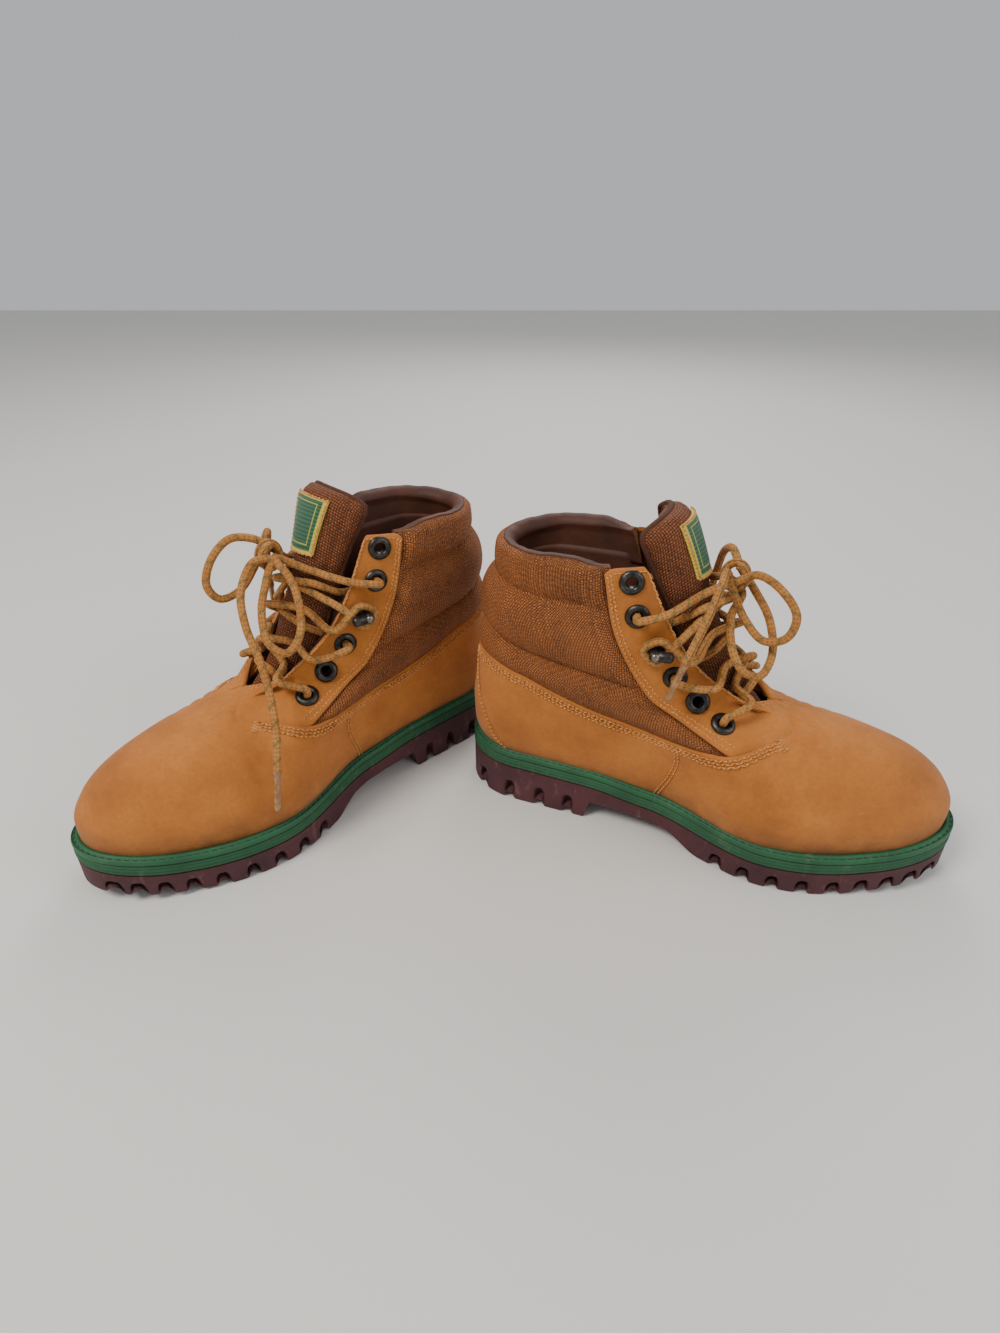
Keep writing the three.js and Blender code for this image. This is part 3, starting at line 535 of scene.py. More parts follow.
def stitch_row(line, normals, pitch, length, radius, tilt=0.0):
    """Raised thread stitches along a line: closed grains, one for each needle step."""
    lengths = distances(line)
    count = max(1, int(lengths[-1] / pitch))
    at = (np.arange(count) + 0.5) * lengths[-1] / count
    place = sampled(line, lengths, at)
    tangent = unit(sampled(line, lengths, at + 0.5) - sampled(line, lengths, at - 0.5))
    normal = unit(sampled(normals, lengths, at))
    across = np.cross(normal, tangent)
    lean = tilt * np.where(np.arange(count) % 2 == 0, 1, -1)[:, None]
    tangent = unit(tangent + across * lean)
    across = np.cross(normal, tangent)
    half = length / 2
    stations = [
        (-half, 0.25, -0.35), (-half * 0.7, 0.85, 0.0), (0, 1, 0.25), (half * 0.7, 0.85, 0.0),
        (half, 0.25, -0.35),
    ]
    turns = np.arange(6) * TAU / 6
    rings = []
    for along_it, size, lift in stations:
        centre = place + tangent * along_it + normal * (lift * radius)
        spokes = across[:, None] * np.cos(turns)[None, :, None]
        spokes = spokes + normal[:, None] * np.sin(turns)[None, :, None]
        rings.append(centre[:, None] + spokes * radius * size)
    grains = np.stack(rings, axis=1)
    points = grains.reshape(-1, 3)
    ring = np.arange(30).reshape(5, 6)
    around = [ring[:-1], np.roll(ring[:-1], -1, 1), np.roll(ring[1:], -1, 1), ring[1:]]
    quads = np.stack(around, -1).reshape(-1, 4)
    faces = []
    for k in range(count):
        faces += (quads + 30 * k).tolist()
        faces += [(ring[0, ::-1] + 30 * k).tolist(), (ring[-1] + 30 * k).tolist()]
    return points, faces


# ---------------------------------------------------------------- materials


def srgb(red, green, blue):
    """A display colour, 0 to 255, as the linear colour that shaders take."""
    linear = [((c / 255 + 0.055) / 1.055) ** 2.4 if c > 10 else c / 3295 for c in (red, green, blue)]
    return (*linear, 1.0)


def shaded(color, share):
    """A colour darkened to a share of itself."""
    return tuple(share * c for c in color[:3]) + (1.0,)


class Look:
    """A material under construction, with short calls for its nodes."""

    def __init__(self, name, roughness=0.8, metallic=0.0, sheen=0.0, coat=0.0, specular=0.5):
        self.material = bpy.data.materials.new(name)
        self.material.use_nodes = True
        self.nodes = self.material.node_tree.nodes
        self.links = self.material.node_tree.links
        self.shader = self.nodes["Principled BSDF"]
        self.shader.inputs["Roughness"].default_value = roughness
        self.shader.inputs["Metallic"].default_value = metallic
        self.shader.inputs["Sheen Weight"].default_value = sheen
        self.shader.inputs["Sheen Roughness"].default_value = 0.5
        self.shader.inputs["Coat Weight"].default_value = coat
        self.shader.inputs["Specular IOR Level"].default_value = specular

    def add(self, kind, **settings):
        made = self.nodes.new(kind)
        for key, value in settings.items():
            setattr(made, key, value)
        return made

    def feed(self, socket, value):
        """Links a node's output to a socket, or sets the socket to a plain value."""
        if isinstance(value, bpy.types.NodeSocket):
            self.links.new(value, socket)
        else:
            socket.default_value = value

    def place(self):
        return self.add("ShaderNodeTexCoord").outputs["Object"]

    def cloth(self):
        """The cloth's own two directions, in millimetres."""
        parts = self.add("ShaderNodeSeparateXYZ")
        self.links.new(self.add("ShaderNodeUVMap", uv_map="UVMap").outputs["UV"], parts.inputs[0])
        return parts.outputs[0], parts.outputs[1]

    def math(self, operation, first, second=0.0, third=0.0):
        made = self.add("ShaderNodeMath", operation=operation)
        for socket, value in zip(made.inputs, (first, second, third)):
            self.feed(socket, value)
        return made.outputs[0]

    def noise(self, scale, detail=3.0, roughness=0.55, stretch=None):
        """Cloudy noise in the row frame. scale counts its features in a metre."""
        vector = self.place()
        if stretch:
            mapping = self.add("ShaderNodeMapping")
            mapping.inputs["Scale"].default_value = stretch
            self.links.new(vector, mapping.inputs["Vector"])
            vector = mapping.outputs["Vector"]
        made = self.add("ShaderNodeTexNoise")
        self.links.new(vector, made.inputs["Vector"])
        made.inputs["Scale"].default_value = scale
        made.inputs["Detail"].default_value = detail
        made.inputs["Roughness"].default_value = roughness
        return made.outputs["Fac"]

    def ramp(self, value, *stops):
        """Colours over a value, from (position, colour) stops."""
        made = self.add("ShaderNodeValToRGB")
        elements = made.color_ramp.elements
        while len(elements) < len(stops):
            elements.new(0.5)
        for element, (position, color) in zip(elements, stops):
            element.position = position
            element.color = color
        self.links.new(value, made.inputs["Fac"])
        return made.outputs["Color"]

    def blend(self, factor, first, second, mode="MIX"):
        made = self.add("ShaderNodeMix", data_type="RGBA", blend_type=mode)
        self.feed(made.inputs[0], factor)
        self.feed(made.inputs[6], first)
        self.feed(made.inputs[7], second)
        return made.outputs[2]

    def between(self, value, low, high):
        """value mapped so that low gives 0 and high gives 1."""
        made = self.add("ShaderNodeMapRange")
        self.feed(made.inputs["Value"], value)
        made.inputs["From Min"].default_value = low
        made.inputs["From Max"].default_value = high
        return made.outputs[0]

    def color(self, value):
        self.feed(self.shader.inputs["Base Color"], value)

    def rough(self, value, low, high):
        """Roughness from low to high as value goes from 0 to 1."""
        made = self.add("ShaderNodeMapRange")
        self.feed(made.inputs["Value"], value)
        made.inputs["To Min"].default_value = low
        made.inputs["To Max"].default_value = high
        self.links.new(made.outputs[0], self.shader.inputs["Roughness"])

    def bump(self, *layers):
        """Raises the surface by each (height, metres) layer."""
        normal = None
        for height, distance in layers:
            made = self.add("ShaderNodeBump")
            made.inputs["Strength"].default_value = 1.0
            made.inputs["Distance"].default_value = distance
            self.links.new(height, made.inputs["Height"])
            if normal:
                self.links.new(normal, made.inputs["Normal"])
            normal = made.outputs["Normal"]
        self.links.new(normal, self.shader.inputs["Normal"])


def nubuck_look():
    """Oiled nubuck: cloudy tan with nap, light scuffs, and dirt low down."""
    look = Look("nubuck", sheen=0.08, specular=0.3)
    cloudy = look.noise(24, 5, 0.6)
    fine = look.noise(420, 4, 0.65)
    nap = look.noise(2600, 2, 0.6)
    tans = (0.25, srgb(152, 88, 32)), (0.5, srgb(180, 108, 42)), (0.78, srgb(198, 126, 56))
    base = look.ramp(cloudy, *tans)
    mottled = look.blend(look.between(fine, 0.35, 0.7), srgb(120, 70, 32), base)
    toned = look.blend(0.75, mottled, base)
    scuffs = look.noise(55, 6, 0.7, stretch=(1.0, 1.0, 3.2))
    scuffed = look.math("MULTIPLY", look.between(scuffs, 0.64, 0.78), 0.45)
    worn = look.blend(scuffed, toned, srgb(204, 140, 78))
    height = look.add("ShaderNodeSeparateXYZ")
    look.links.new(look.place(), height.inputs[0])
    low = look.between(height.outputs[2], 0.052, 0.03)
    dirt = look.math("MULTIPLY", low, look.between(look.noise(90, 4), 0.3, 0.7))
    look.color(look.blend(look.math("MULTIPLY", dirt, 0.55), worn, srgb(96, 66, 40)))
    look.rough(fine, 0.72, 0.95)
    look.bump((cloudy, 0.0008), (fine, 0.0003), (nap, 0.00012))
    return look.material


def weave_look(name, thread, groove_shade_and_slub, pitch, depth, sheen=0.2):
    """A plain weave: threads cross over and under each other at a pitch in millimetres. The grooves
    between their crowns carry painted shade.
    """
    look = Look(name, roughness=0.75, sheen=sheen, specular=0.35)
    across, up = look.cloth()
    a = look.math("SINE", look.math("MULTIPLY", across, math.pi / pitch))
    b = look.math("SINE", look.math("MULTIPLY", up, math.pi / pitch))
    over = look.math("MULTIPLY", a, b)
    crown = look.math("ABSOLUTE", over)
    uneven = look.noise(60, 4, 0.6)
    slub = look.noise(900, 2, 0.5)
    warp = look.blend(look.between(over, -0.2, 0.2), thread, shaded(thread, 0.72))
    # painted shade: the grooves between the threads' crowns take the darker colour, which also sets the
    # tone of the darker slubs
    lit = look.blend(look.between(crown, 0.08, 0.5), groove_shade_and_slub, warp)
    dull = look.blend(look.between(slub, 0.35, 0.65), shaded(groove_shade_and_slub, 0.6), lit)
    faded = look.blend(look.between(uneven, 0.2, 0.8), dull, lit)
    look.color(faded)
    look.bump((uneven, 0.0005), (crown, depth), (slub, 0.00008))
    return look.material


def lining_look(name, dark, light):
    """Smooth lining with a fine grain."""
    look = Look(name, roughness=0.65, specular=0.35)
    cloudy = look.noise(35, 4)
    grain = look.noise(1100, 3, 0.6)
    look.color(look.ramp(cloudy, (0.3, dark), (0.75, light)))
    look.rough(grain, 0.5, 0.75)
    look.bump((cloudy, 0.0008), (grain, 0.00012))
    return look.material


def rubber_look(name, dark, light, dust, roughness=(0.55, 0.85)):
    """Matte rubber with dusty scuffs."""
    look = Look(name, specular=0.4)
    cloudy = look.noise(30, 5, 0.6)
    grain = look.noise(1500, 3, 0.6)
    scuffs = look.noise(160, 5, 0.7, stretch=(1, 1, 0.35))
    base = look.ramp(cloudy, (0.3, dark), (0.75, light))
    dusty = look.blend(look.between(scuffs, 0.56, 0.74), base, dust)
    look.color(look.blend(0.55, base, dusty))
    look.rough(scuffs, *roughness)
    look.bump((grain, 0.00012), (scuffs, 0.0002))
    return look.material


def gunmetal_look():
    """Dark plated metal, worn bright in places."""
    look = Look("gunmetal", metallic=0.9, roughness=0.38)
    worn = look.noise(240, 5, 0.7)
    greys = (0.35, srgb(44, 42, 40)), (0.6, srgb(74, 70, 66)), (0.8, srgb(126, 118, 108))
    look.color(look.ramp(worn, *greys))
    look.rough(worn, 0.26, 0.5)
    look.bump((look.noise(1800, 2), 0.00004))
    return look.material


def braid_look():
    """Braided cord: u runs once round it, v along it in millimetres."""
    look = Look("lace_braid", roughness=0.75, sheen=0.04, specular=0.25)
    turn, run = look.cloth()
    around = look.math("MULTIPLY", turn, 4 * TAU)
    along_it = look.math("MULTIPLY", run, TAU / BRAID_PITCH)
    rising = look.math("SINE", look.math("ADD", around, along_it))
    falling = look.math("SINE", look.math("SUBTRACT", around, along_it))
    strands = look.math("MULTIPLY", rising, falling)
    once_round = look.math("MULTIPLY", turn, TAU)
    slowly = look.math("MULTIPLY", run, TAU / (2 * BRAID_PITCH))
    slow = look.math("SINE", look.math("ADD", once_round, slowly))
    fleck = look.math("MULTIPLY", look.between(slow, 0.72, 0.84), look.between(strands, -0.1, 0.15))
    tan = look.ramp(look.noise(90, 4), (0.3, srgb(180, 116, 52)), (0.7, srgb(204, 144, 78)))
    # painted shade: the hollows between the braid's strands are coloured a darker brown
    hollow_shaded = look.blend(look.between(strands, -1.5, 0.1), srgb(124, 74, 30), tan)
    look.color(look.blend(look.math("MULTIPLY", fleck, 0.85), hollow_shaded, srgb(84, 96, 58)))
    slanted = look.math("ADD", look.math("MULTIPLY", turn, 14.4), run)
    threads = look.math("SINE", look.math("MULTIPLY", slanted, TAU / 0.5))
    look.bump((strands, 0.00012), (threads, 0.00008))
    return look.material


def label_look():
    """A woven patch: u and v run 0 to 1 over it, with a merrowed edge."""
    look = Look("woven_label", roughness=0.75, sheen=0.2)
    across, up = look.cloth()
    edge_u = look.math("ABSOLUTE", look.math("SUBTRACT", across, 0.5))
    edge_v = look.math("ABSOLUTE", look.math("SUBTRACT", up, 0.5))
    edge = look.math("MAXIMUM", edge_u, edge_v)
    bars = look.math("SINE", look.math("MULTIPLY", up, 16 * TAU))
    threads = look.math("SINE", look.math("MULTIPLY", across, 50 * TAU))
    field = look.blend(look.between(bars, -0.4, 0.6), srgb(28, 76, 48), srgb(44, 104, 66))
    ring = look.math("ABSOLUTE", look.math("SUBTRACT", edge, 0.34))
    band = look.blend(look.math("LESS_THAN", ring, 0.012), field, srgb(170, 164, 66))
    look.color(look.blend(look.between(edge, 0.43, 0.44), band, srgb(206, 194, 62)))
    look.bump((threads, 0.0001), (bars, 0.0001))
    return look.material


def plain_look(name, dark, light, roughness, bump=0.00006, **settings):
    """A plain, slightly uneven finish."""
    look = Look(name, roughness=roughness, **settings)
    cloudy = look.noise(320, 4)
    look.color(look.ramp(cloudy, (0.3, dark), (0.7, light)))
    look.bump((look.noise(2200, 2), bump))
    return look.material


LOOKS = {
    "nubuck": nubuck_look(),
    "weave": weave_look("collar_weave", srgb(206, 124, 62), srgb(88, 46, 22), 1.6, 0.0007, 0.0),
    "tongue": weave_look("tongue_weave", srgb(168, 96, 50), srgb(66, 34, 18), 1.6, 0.0007, 0.0),
    "binding": weave_look("binding_tape", srgb(112, 62, 36), srgb(58, 30, 18), 0.7, 0.0002, 0.0),
    "gusset": weave_look("gusset_cloth", srgb(104, 62, 42), srgb(56, 32, 24), 0.8, 0.00015),
    "lining": lining_look("smooth_lining", srgb(58, 30, 19), srgb(92, 50, 32)),
    "inside": lining_look("inner_lining", srgb(46, 30, 24), srgb(74, 50, 38)),
    "footbed": weave_look("footbed_cloth", srgb(92, 64, 46), srgb(52, 36, 28), 0.9, 0.0002),
    "outsole": rubber_look("outsole_rubber", srgb(56, 28, 32), srgb(86, 44, 48), srgb(128, 98, 88)),
    "midsole": rubber_look("midsole_rubber", srgb(26, 68, 42), srgb(40, 90, 56), srgb(92, 108, 78)),
    "welt": rubber_look(
        "welt_rubber", srgb(24, 74, 44), srgb(38, 100, 60), srgb(92, 112, 76), (0.45, 0.7)
    ),
    "welt_thread": plain_look("welt_thread", srgb(14, 46, 30), srgb(24, 66, 42), 0.7, sheen=0.2),
    "rust_thread": plain_look("rust_thread", srgb(140, 78, 40), srgb(190, 122, 70), 0.7, specular=0.2),
    "tan_thread": plain_look("tan_thread", srgb(176, 114, 58), srgb(216, 154, 92), 0.7, specular=0.2),
    "gunmetal": gunmetal_look(),
    "rivet": plain_look("rivet_metal", srgb(96, 90, 82), srgb(146, 138, 126), 0.3, metallic=0.95),
    "braid": braid_look(),
    "aglet": plain_look("aglet_plastic", srgb(112, 72, 36), srgb(168, 122, 74), 0.22, coat=0.6),
    "board": plain_look("insole_board", srgb(120, 104, 80), srgb(150, 134, 106), 0.9),
    "label": label_look(),
}

# ---------------------------------------------------------------- one boot's pieces


class Boot:
    """Places pieces of one boot in the row frame and hangs them on its bodies."""

    def __init__(self, side, mirrored, heel, turn, bow):
        self.side = side
        self.mirrored = mirrored
        self.heel = np.array(heel)
        self.turn = math.radians(turn)
        self.bow = bow
        self.body = f"{side}_boot"
        self.flap = f"{side}_tongue_flap"

    def world(self, points):
        """Shoe-frame points, in millimetres, as row-frame points in metres."""
        points = np.asarray(points, float)
        y = points[..., 1] * (-1 if self.mirrored else 1)
        x = points[..., 0]
        cos, sin = math.cos(self.turn), math.sin(self.turn)
        placed = [self.heel[0] + x * cos - y * sin, self.heel[1] + x * sin + y * cos, points[..., 2]]
        return np.stack(placed, -1) / 1000

    def mesh(self, name, points, faces, look, uv=None, body=None, replaces=(), slot=None, sharp=None):
        """A mesh piece from shoe-frame points, riding on a body; body=False leaves it on no body."""
        data = bpy.data.meshes.new(f"{self.side}_{name}")
        faces = faces.tolist() if isinstance(faces, np.ndarray) else faces
        if self.mirrored:
            faces = [face[::-1] for face in faces]
        data.from_pydata(self.world(points).tolist(), [], faces)
        edit = bmesh.new()
        edit.from_mesh(data)
        bmesh.ops.recalc_face_normals(edit, faces=edit.faces)
        edit.to_mesh(data)
        edit.free()
        if uv is not None:
            layer = data.uv_layers.new(name="UVMap")
            corners = np.empty(len(data.loops), int)
            data.loops.foreach_get("vertex_index", corners)
            layer.data.foreach_set("uv", np.asarray(uv, np.float32)[corners].ravel())
        data.shade_smooth()
        if sharp:
            data.set_sharp_from_angle(angle=math.radians(sharp))
        data.materials.append(LOOKS[look])
        piece = bpy.data.objects.new(f"{self.side}_{name}_made", data)
        bpy.context.scene.collection.objects.link(piece)
        if body is not False:
            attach(piece, body or self.body)
        if replaces:
            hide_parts(*[f"{self.side}_{node}" for node in replaces])
        return piece


def spaced(count, length, edge=1.6):
    """Places from 0 to 1, close together at both ends so that a panel's edges can be rounded."""
    steps = np.array([0, 0.12, 0.35, 0.65, 1.0]) * edge / length
    inside = np.linspace(steps[-1], 1 - steps[-1], count)[1:-1]
    return np.concatenate([steps, inside, (1 - steps)[::-1]])


def rounded(place, length, edge=1.6):
    """How far a panel's face has dropped at a place near its ends: 0 inside, 1 at the edge."""
    near = np.clip(np.minimum(place, 1 - place) * length / edge, 0, 1)
    return 1 - np.sqrt(np.maximum(0, 1 - (1 - near) ** 2))


def laid_panel(boot, name, sheet, shares, size, base, thick, look, slot, surface, **options):
    """A panel with rounded edges over a sheet. size is its rough width and height in millimetres."""
    a, b = np.meshgrid(*shares)
    place, normal = sheet(a, b)
    share_a = (a - a.min()) / (a.max() - a.min())
    share_b = (b - b.min()) / (b.max() - b.min())
    drop = np.maximum(rounded(share_a, size[0]), rounded(share_b, size[1]))
    lift = surface(a, b)
    outer = place + normal * (base + thick * (1 - 0.8 * drop) + lift)[..., None]
    inner = place + normal * (base + np.minimum(lift, 0))[..., None]
    points, faces = shell(outer, inner)
    return boot.mesh(name, points, faces, look, uv=shell_uv(place), slot=slot, **options)


def panel(boot, name, spot, size, counts, base, thick, look, slot, surface, **options):
    """A panel on the skin. spot gives side, u and v at shares a across and b up it."""
    def sheet(a, b):
        side, u, v = spot(a, b)
        return skin(side, u, v), skin_normal(side, u, v)

    shares = spaced(counts[0], size[0]), spaced(counts[1], size[1])
    return laid_panel(boot, name, sheet, shares, size, base, thick, look, slot,
                      lambda a, b: surface(*spot(a, b)), **options)


def leather_surface(side, u, v):
    """Soft hollows and rises of worn leather, with flex creases across the forefoot."""
    place = skin(side, u, v)
    x, y, z = place[..., 0], place[..., 1], place[..., 2]
    soft = 0.28 * ripple(x / 14, z / 11 + y / 17, 1)
    wave = x + 5 * np.sin(y / 15) + 2.2 * np.sin(y / 6.5 + 1)
    folds = sum(np.exp(-(((wave - at) / wide) ** 2)) * deep for at, wide, deep in (
        (196, 1.7, 0.8), (207, 1.5, 1.0), (216, 1.9, 0.7), (188, 1.5, 0.6), (226, 2.2, 0.4),
    ))
    bent = smooth((z - 48) / 22) * smooth((u - 0.5) / 0.06)
    return soft - folds * bent


def edge_line(side, u, v, offset, inset):
    """A line on the skin moved sideways across it by inset, with its normals."""
    place = off_skin(side, u, v, np.full(np.shape(u), offset))
    normal = skin_normal(side, u, v)
    tangent = unit(np.gradient(place, axis=0))
    return place + np.cross(normal, tangent) * inset, normal


def sew(boot, name, rows, look="tan_thread", slot="nubuck"):
    """One piece for a seam's rows, each one (line, normals, pitch, length, radius, tilt)."""
    points, faces = joined(*[stitch_row(*row) for row in rows])
    return boot.mesh(name, points, faces, look, slot=slot)


def make_upper(boot):
    """The nubuck panels and their seams."""
    def vamp_spot(a, b):
        side, out = both_sides(a)
        u = mix(seam_u(b * SEAM_TOP) - 0.006, 1, 1 - out)
        return side, u, b * vamp_top(u)

    panel(boot, "vamp", vamp_spot, (360, 60), (190, 60), PANEL_BASE, 1.9, "nubuck", "nubuck",
          leather_surface, replaces=["vamp"])
    for side, name in SIDES:
        def quarter_spot(a, b):
            u = mix(strip_u(b) + 0.001, seam_u(b * SEAM_TOP) - 0.001, a)
            return np.full_like(a, side), u, b * quarter_top(u)

        panel(boot, f"quarter_{name}", quarter_spot, (115, 65), (70, 44), PANEL_BASE, 1.8,
              "nubuck", "nubuck", leather_surface, replaces=[f"quarter_{name}"])

    def strip_spot(a, b):
        side, out = both_sides(a)
        return side, (strip_u(b) - 0.002) * out, b * quarter_top(strip_u(b) * out)

    panel(boot, "heel_strip", strip_spot, (60, 72), (36, 44), PANEL_BASE, 2.0, "nubuck", "nubuck",
          leather_surface, replaces=["heel_strip"])

    rows = []
    for side in (-1, 1):
        u = np.linspace(0.06, 0.72, 160)
        top = quarter_top(u)
        for inset, tilt in ((2.4, 0.5), (4.3, -0.5), (6.2, 0.5)):
            line, normals = edge_line(side, u, top, STITCH_LIFT, side * inset)
            rows.append((line, normals, 2.6, 2.5, 0.5, tilt))
        u = np.array([0.727, 0.73, 0.733])
        line = off_skin(side, u, quarter_top(u), np.full(3, 2.2))
        normals = skin_normal(side, u, quarter_top(u))
        down = unit(np.cross(normals[1], line[2] - line[0])) * side
        bar = line[1] + down * np.linspace(0.5, 8, 12)[:, None]
        rows.append((bar, np.repeat(normals[1:2], 12, axis=0), 0.9, 4.2, 0.42, 6.0))
        v = np.linspace(0.015, 0.365, 60)
        for inset in (2.2, 4.4):
            line, normals = edge_line(side, seam_u(v), v, STITCH_LIFT, side * -inset)
            rows.append((line, normals, *SEAM_STITCH))
        b = np.linspace(0.03, 0.96, 60)
        for inset in (2.0, 4.0):
            line, normals = edge_line(side, strip_u(b), b * quarter_top(strip_u(b)), 2.4, side * inset)
            rows.append((line, normals, *SEAM_STITCH))
    sew(boot, "upper_stitches", rows, "tan_thread")


def punch(boot, piece, side):
    """Opens a sheet where the eyelets' barrels pass through it."""
    edit = bmesh.new()
    edit.from_mesh(piece.data)
    middles = np.array([face.calc_center_median() for face in edit.faces]) * 1000
    gone = np.zeros(len(middles), bool)
    for spot in EYELETS:
        place, normal, _ = fitting_frame(side, spot)
        centre, tip = boot.world(place) * 1000, boot.world(place + normal) * 1000
        away = middles - centre
        height = away @ (tip - centre)
        reach = np.linalg.norm(away - height[:, None] * (tip - centre), axis=1)
        gone |= (reach < PUNCH_RADIUS) & (np.abs(height) < PUNCH_DEPTH)
    faces = [face for face, drop in zip(edit.faces, gone) if drop]
    bmesh.ops.delete(edit, geom=faces, context="FACES")
    edit.to_mesh(piece.data)
    edit.free()


def patch(control, a, b):
    """Points of a smooth sheet through a grid of control points, at shares a across and b up it."""
    low = 2 * control[:1] - control[1:2]
    high = 2 * control[-1:] - control[-2:-1]
    grid = np.concatenate([low, control, high])
    left = 2 * grid[:, :1] - grid[:, 1:2]
    right = 2 * grid[:, -1:] - grid[:, -2:-1]
    grid = np.concatenate([left, grid, right], axis=1)
    a, b = np.broadcast_arrays(np.asarray(a, float), np.asarray(b, float))

    def weights(share, count):
        at = share * (count - 1)
        first = np.clip(np.floor(at), 0, count - 2).astype(int)
        t = at - first
        return first, [
            (-t + 2 * t**2 - t**3) / 2, (2 - 5 * t**2 + 3 * t**3) / 2,
            (t + 4 * t**2 - 3 * t**3) / 2, (-(t**2) + t**3) / 2,
        ]

    row, row_weights = weights(b, len(control))
    column, column_weights = weights(a, control.shape[1])
    total = 0
    for m, row_weight in enumerate(row_weights):
        for n, column_weight in enumerate(column_weights):
            total = total + (row_weight * column_weight)[..., None] * grid[row + m, column + n]
    return total


def eyestay_sheet(side):
    """The facing beside the throat: a function from shares a and b to places and normals."""
    a, b = np.meshgrid(np.linspace(0, 1, 6), np.linspace(0, 1, 11))
    u = mix(eyestay_rear(mix(EYESTAY_FOOT, 1, b)), EYESTAY_FRONT, a)
    foot = np.maximum(quarter_top(u) + 0.006, np.where(a > 0.99, THROAT + 0.004, 0))
    v = mix(foot, 1, b)
    v[0, -1] = THROAT - 0.002
    places = skin(side, u, v)
    normals = skin_normal(side, u, v)

    def sheet(a, b):
        b = np.where(b < 0, b * (1 - smooth((a - 0.45) / 0.4)), b)
        b = b - 0.03 * smooth((b - 0.7) / 0.3) * np.abs(2 * a - 1) ** 7
        return patch(places, a, b), unit(patch(normals, a, b))

    return sheet


def under_eyestay(side, u, v, points, depth):
    """Carries the points past an eyestay's rear edge down to a depth under its sheet."""
    foot = quarter_top(u) + 0.006
    b = np.clip((v - foot) / (1 - foot), 0, 1)
    rear = eyestay_rear(mix(EYESTAY_FOOT, 1, b))
    a = (u - rear) / (EYESTAY_FRONT - rear)
    covered = smooth((a + 0.03) / 0.05)[..., None]
    moved = points
    for one_side in (-1, 1):
        place, normal = eyestay_sheet(one_side)(np.clip(a, 0, 1), b)
        chosen = (side == one_side)[..., None]
        moved = np.where(chosen, mix(points, place - normal * depth, covered), moved)
    return moved


def make_eyestays(boot):
    """The two nubuck facings with their linings, holes and stitches."""
    for side, name in SIDES:
        sheet = eyestay_sheet(side)

        def surface(a, b):
            tucked = mix(2.6, 0.8, smooth((a - 0.45) / 0.4)) * (1 - smooth((b + 0.05) / 0.07))
            return 0.2 * ripple(a * 7, b * 10, 2) - tucked

        a = spaced(44, 62)
        b = mix(-0.06, 1, spaced(90, 100))
        piece = laid_panel(boot, f"eyestay_{name}", sheet, (a, b), (62, 100), PANEL_BASE, 2.1,
                           "nubuck", "nubuck", surface, replaces=[f"eyestay_{name}"])
        punch(boot, piece, side)
        b = mix(0.02, 0.985, spaced(60, 90))
        shares = mix(0.0, 0.985, a), b
        facing = laid_panel(boot, f"facing_lining_{name}", sheet, shares, (62, 90), -1.4, 1.2,
                            "lining", "smooth_lining", lambda a, b: 0 * a)
        punch(boot, facing, side)
        rows = []
        ends = np.linspace(0.015, 0.985, 90)
        for share, tilt in ((0.04, 0.5), (0.085, -0.5), (0.925, 0.5), (0.965, -0.5)):
            rows.append(sheet_row(sheet, share + 0 * ends, ends, tilt))
        rows.append(sheet_row(sheet, mix(0.1, 0.9, ends), 0.978 + 0 * ends, 0.0))
        sew(boot, f"eyestay_{name}_stitches", rows)


def sheet_row(sheet, a, b, tilt):
    """A row of stitches over a sheet."""
    place, normal = sheet(a, b)
    return place + normal * STITCH_LIFT, normal, 2.5, 2.3, 0.46, tilt


def quilt_height(fraction, power=0.42):
    """How full a quilted band is across it: 0 at its seams, 1 in its middle."""
    return np.sin(math.pi * np.clip(fraction, 0, 1)) ** power


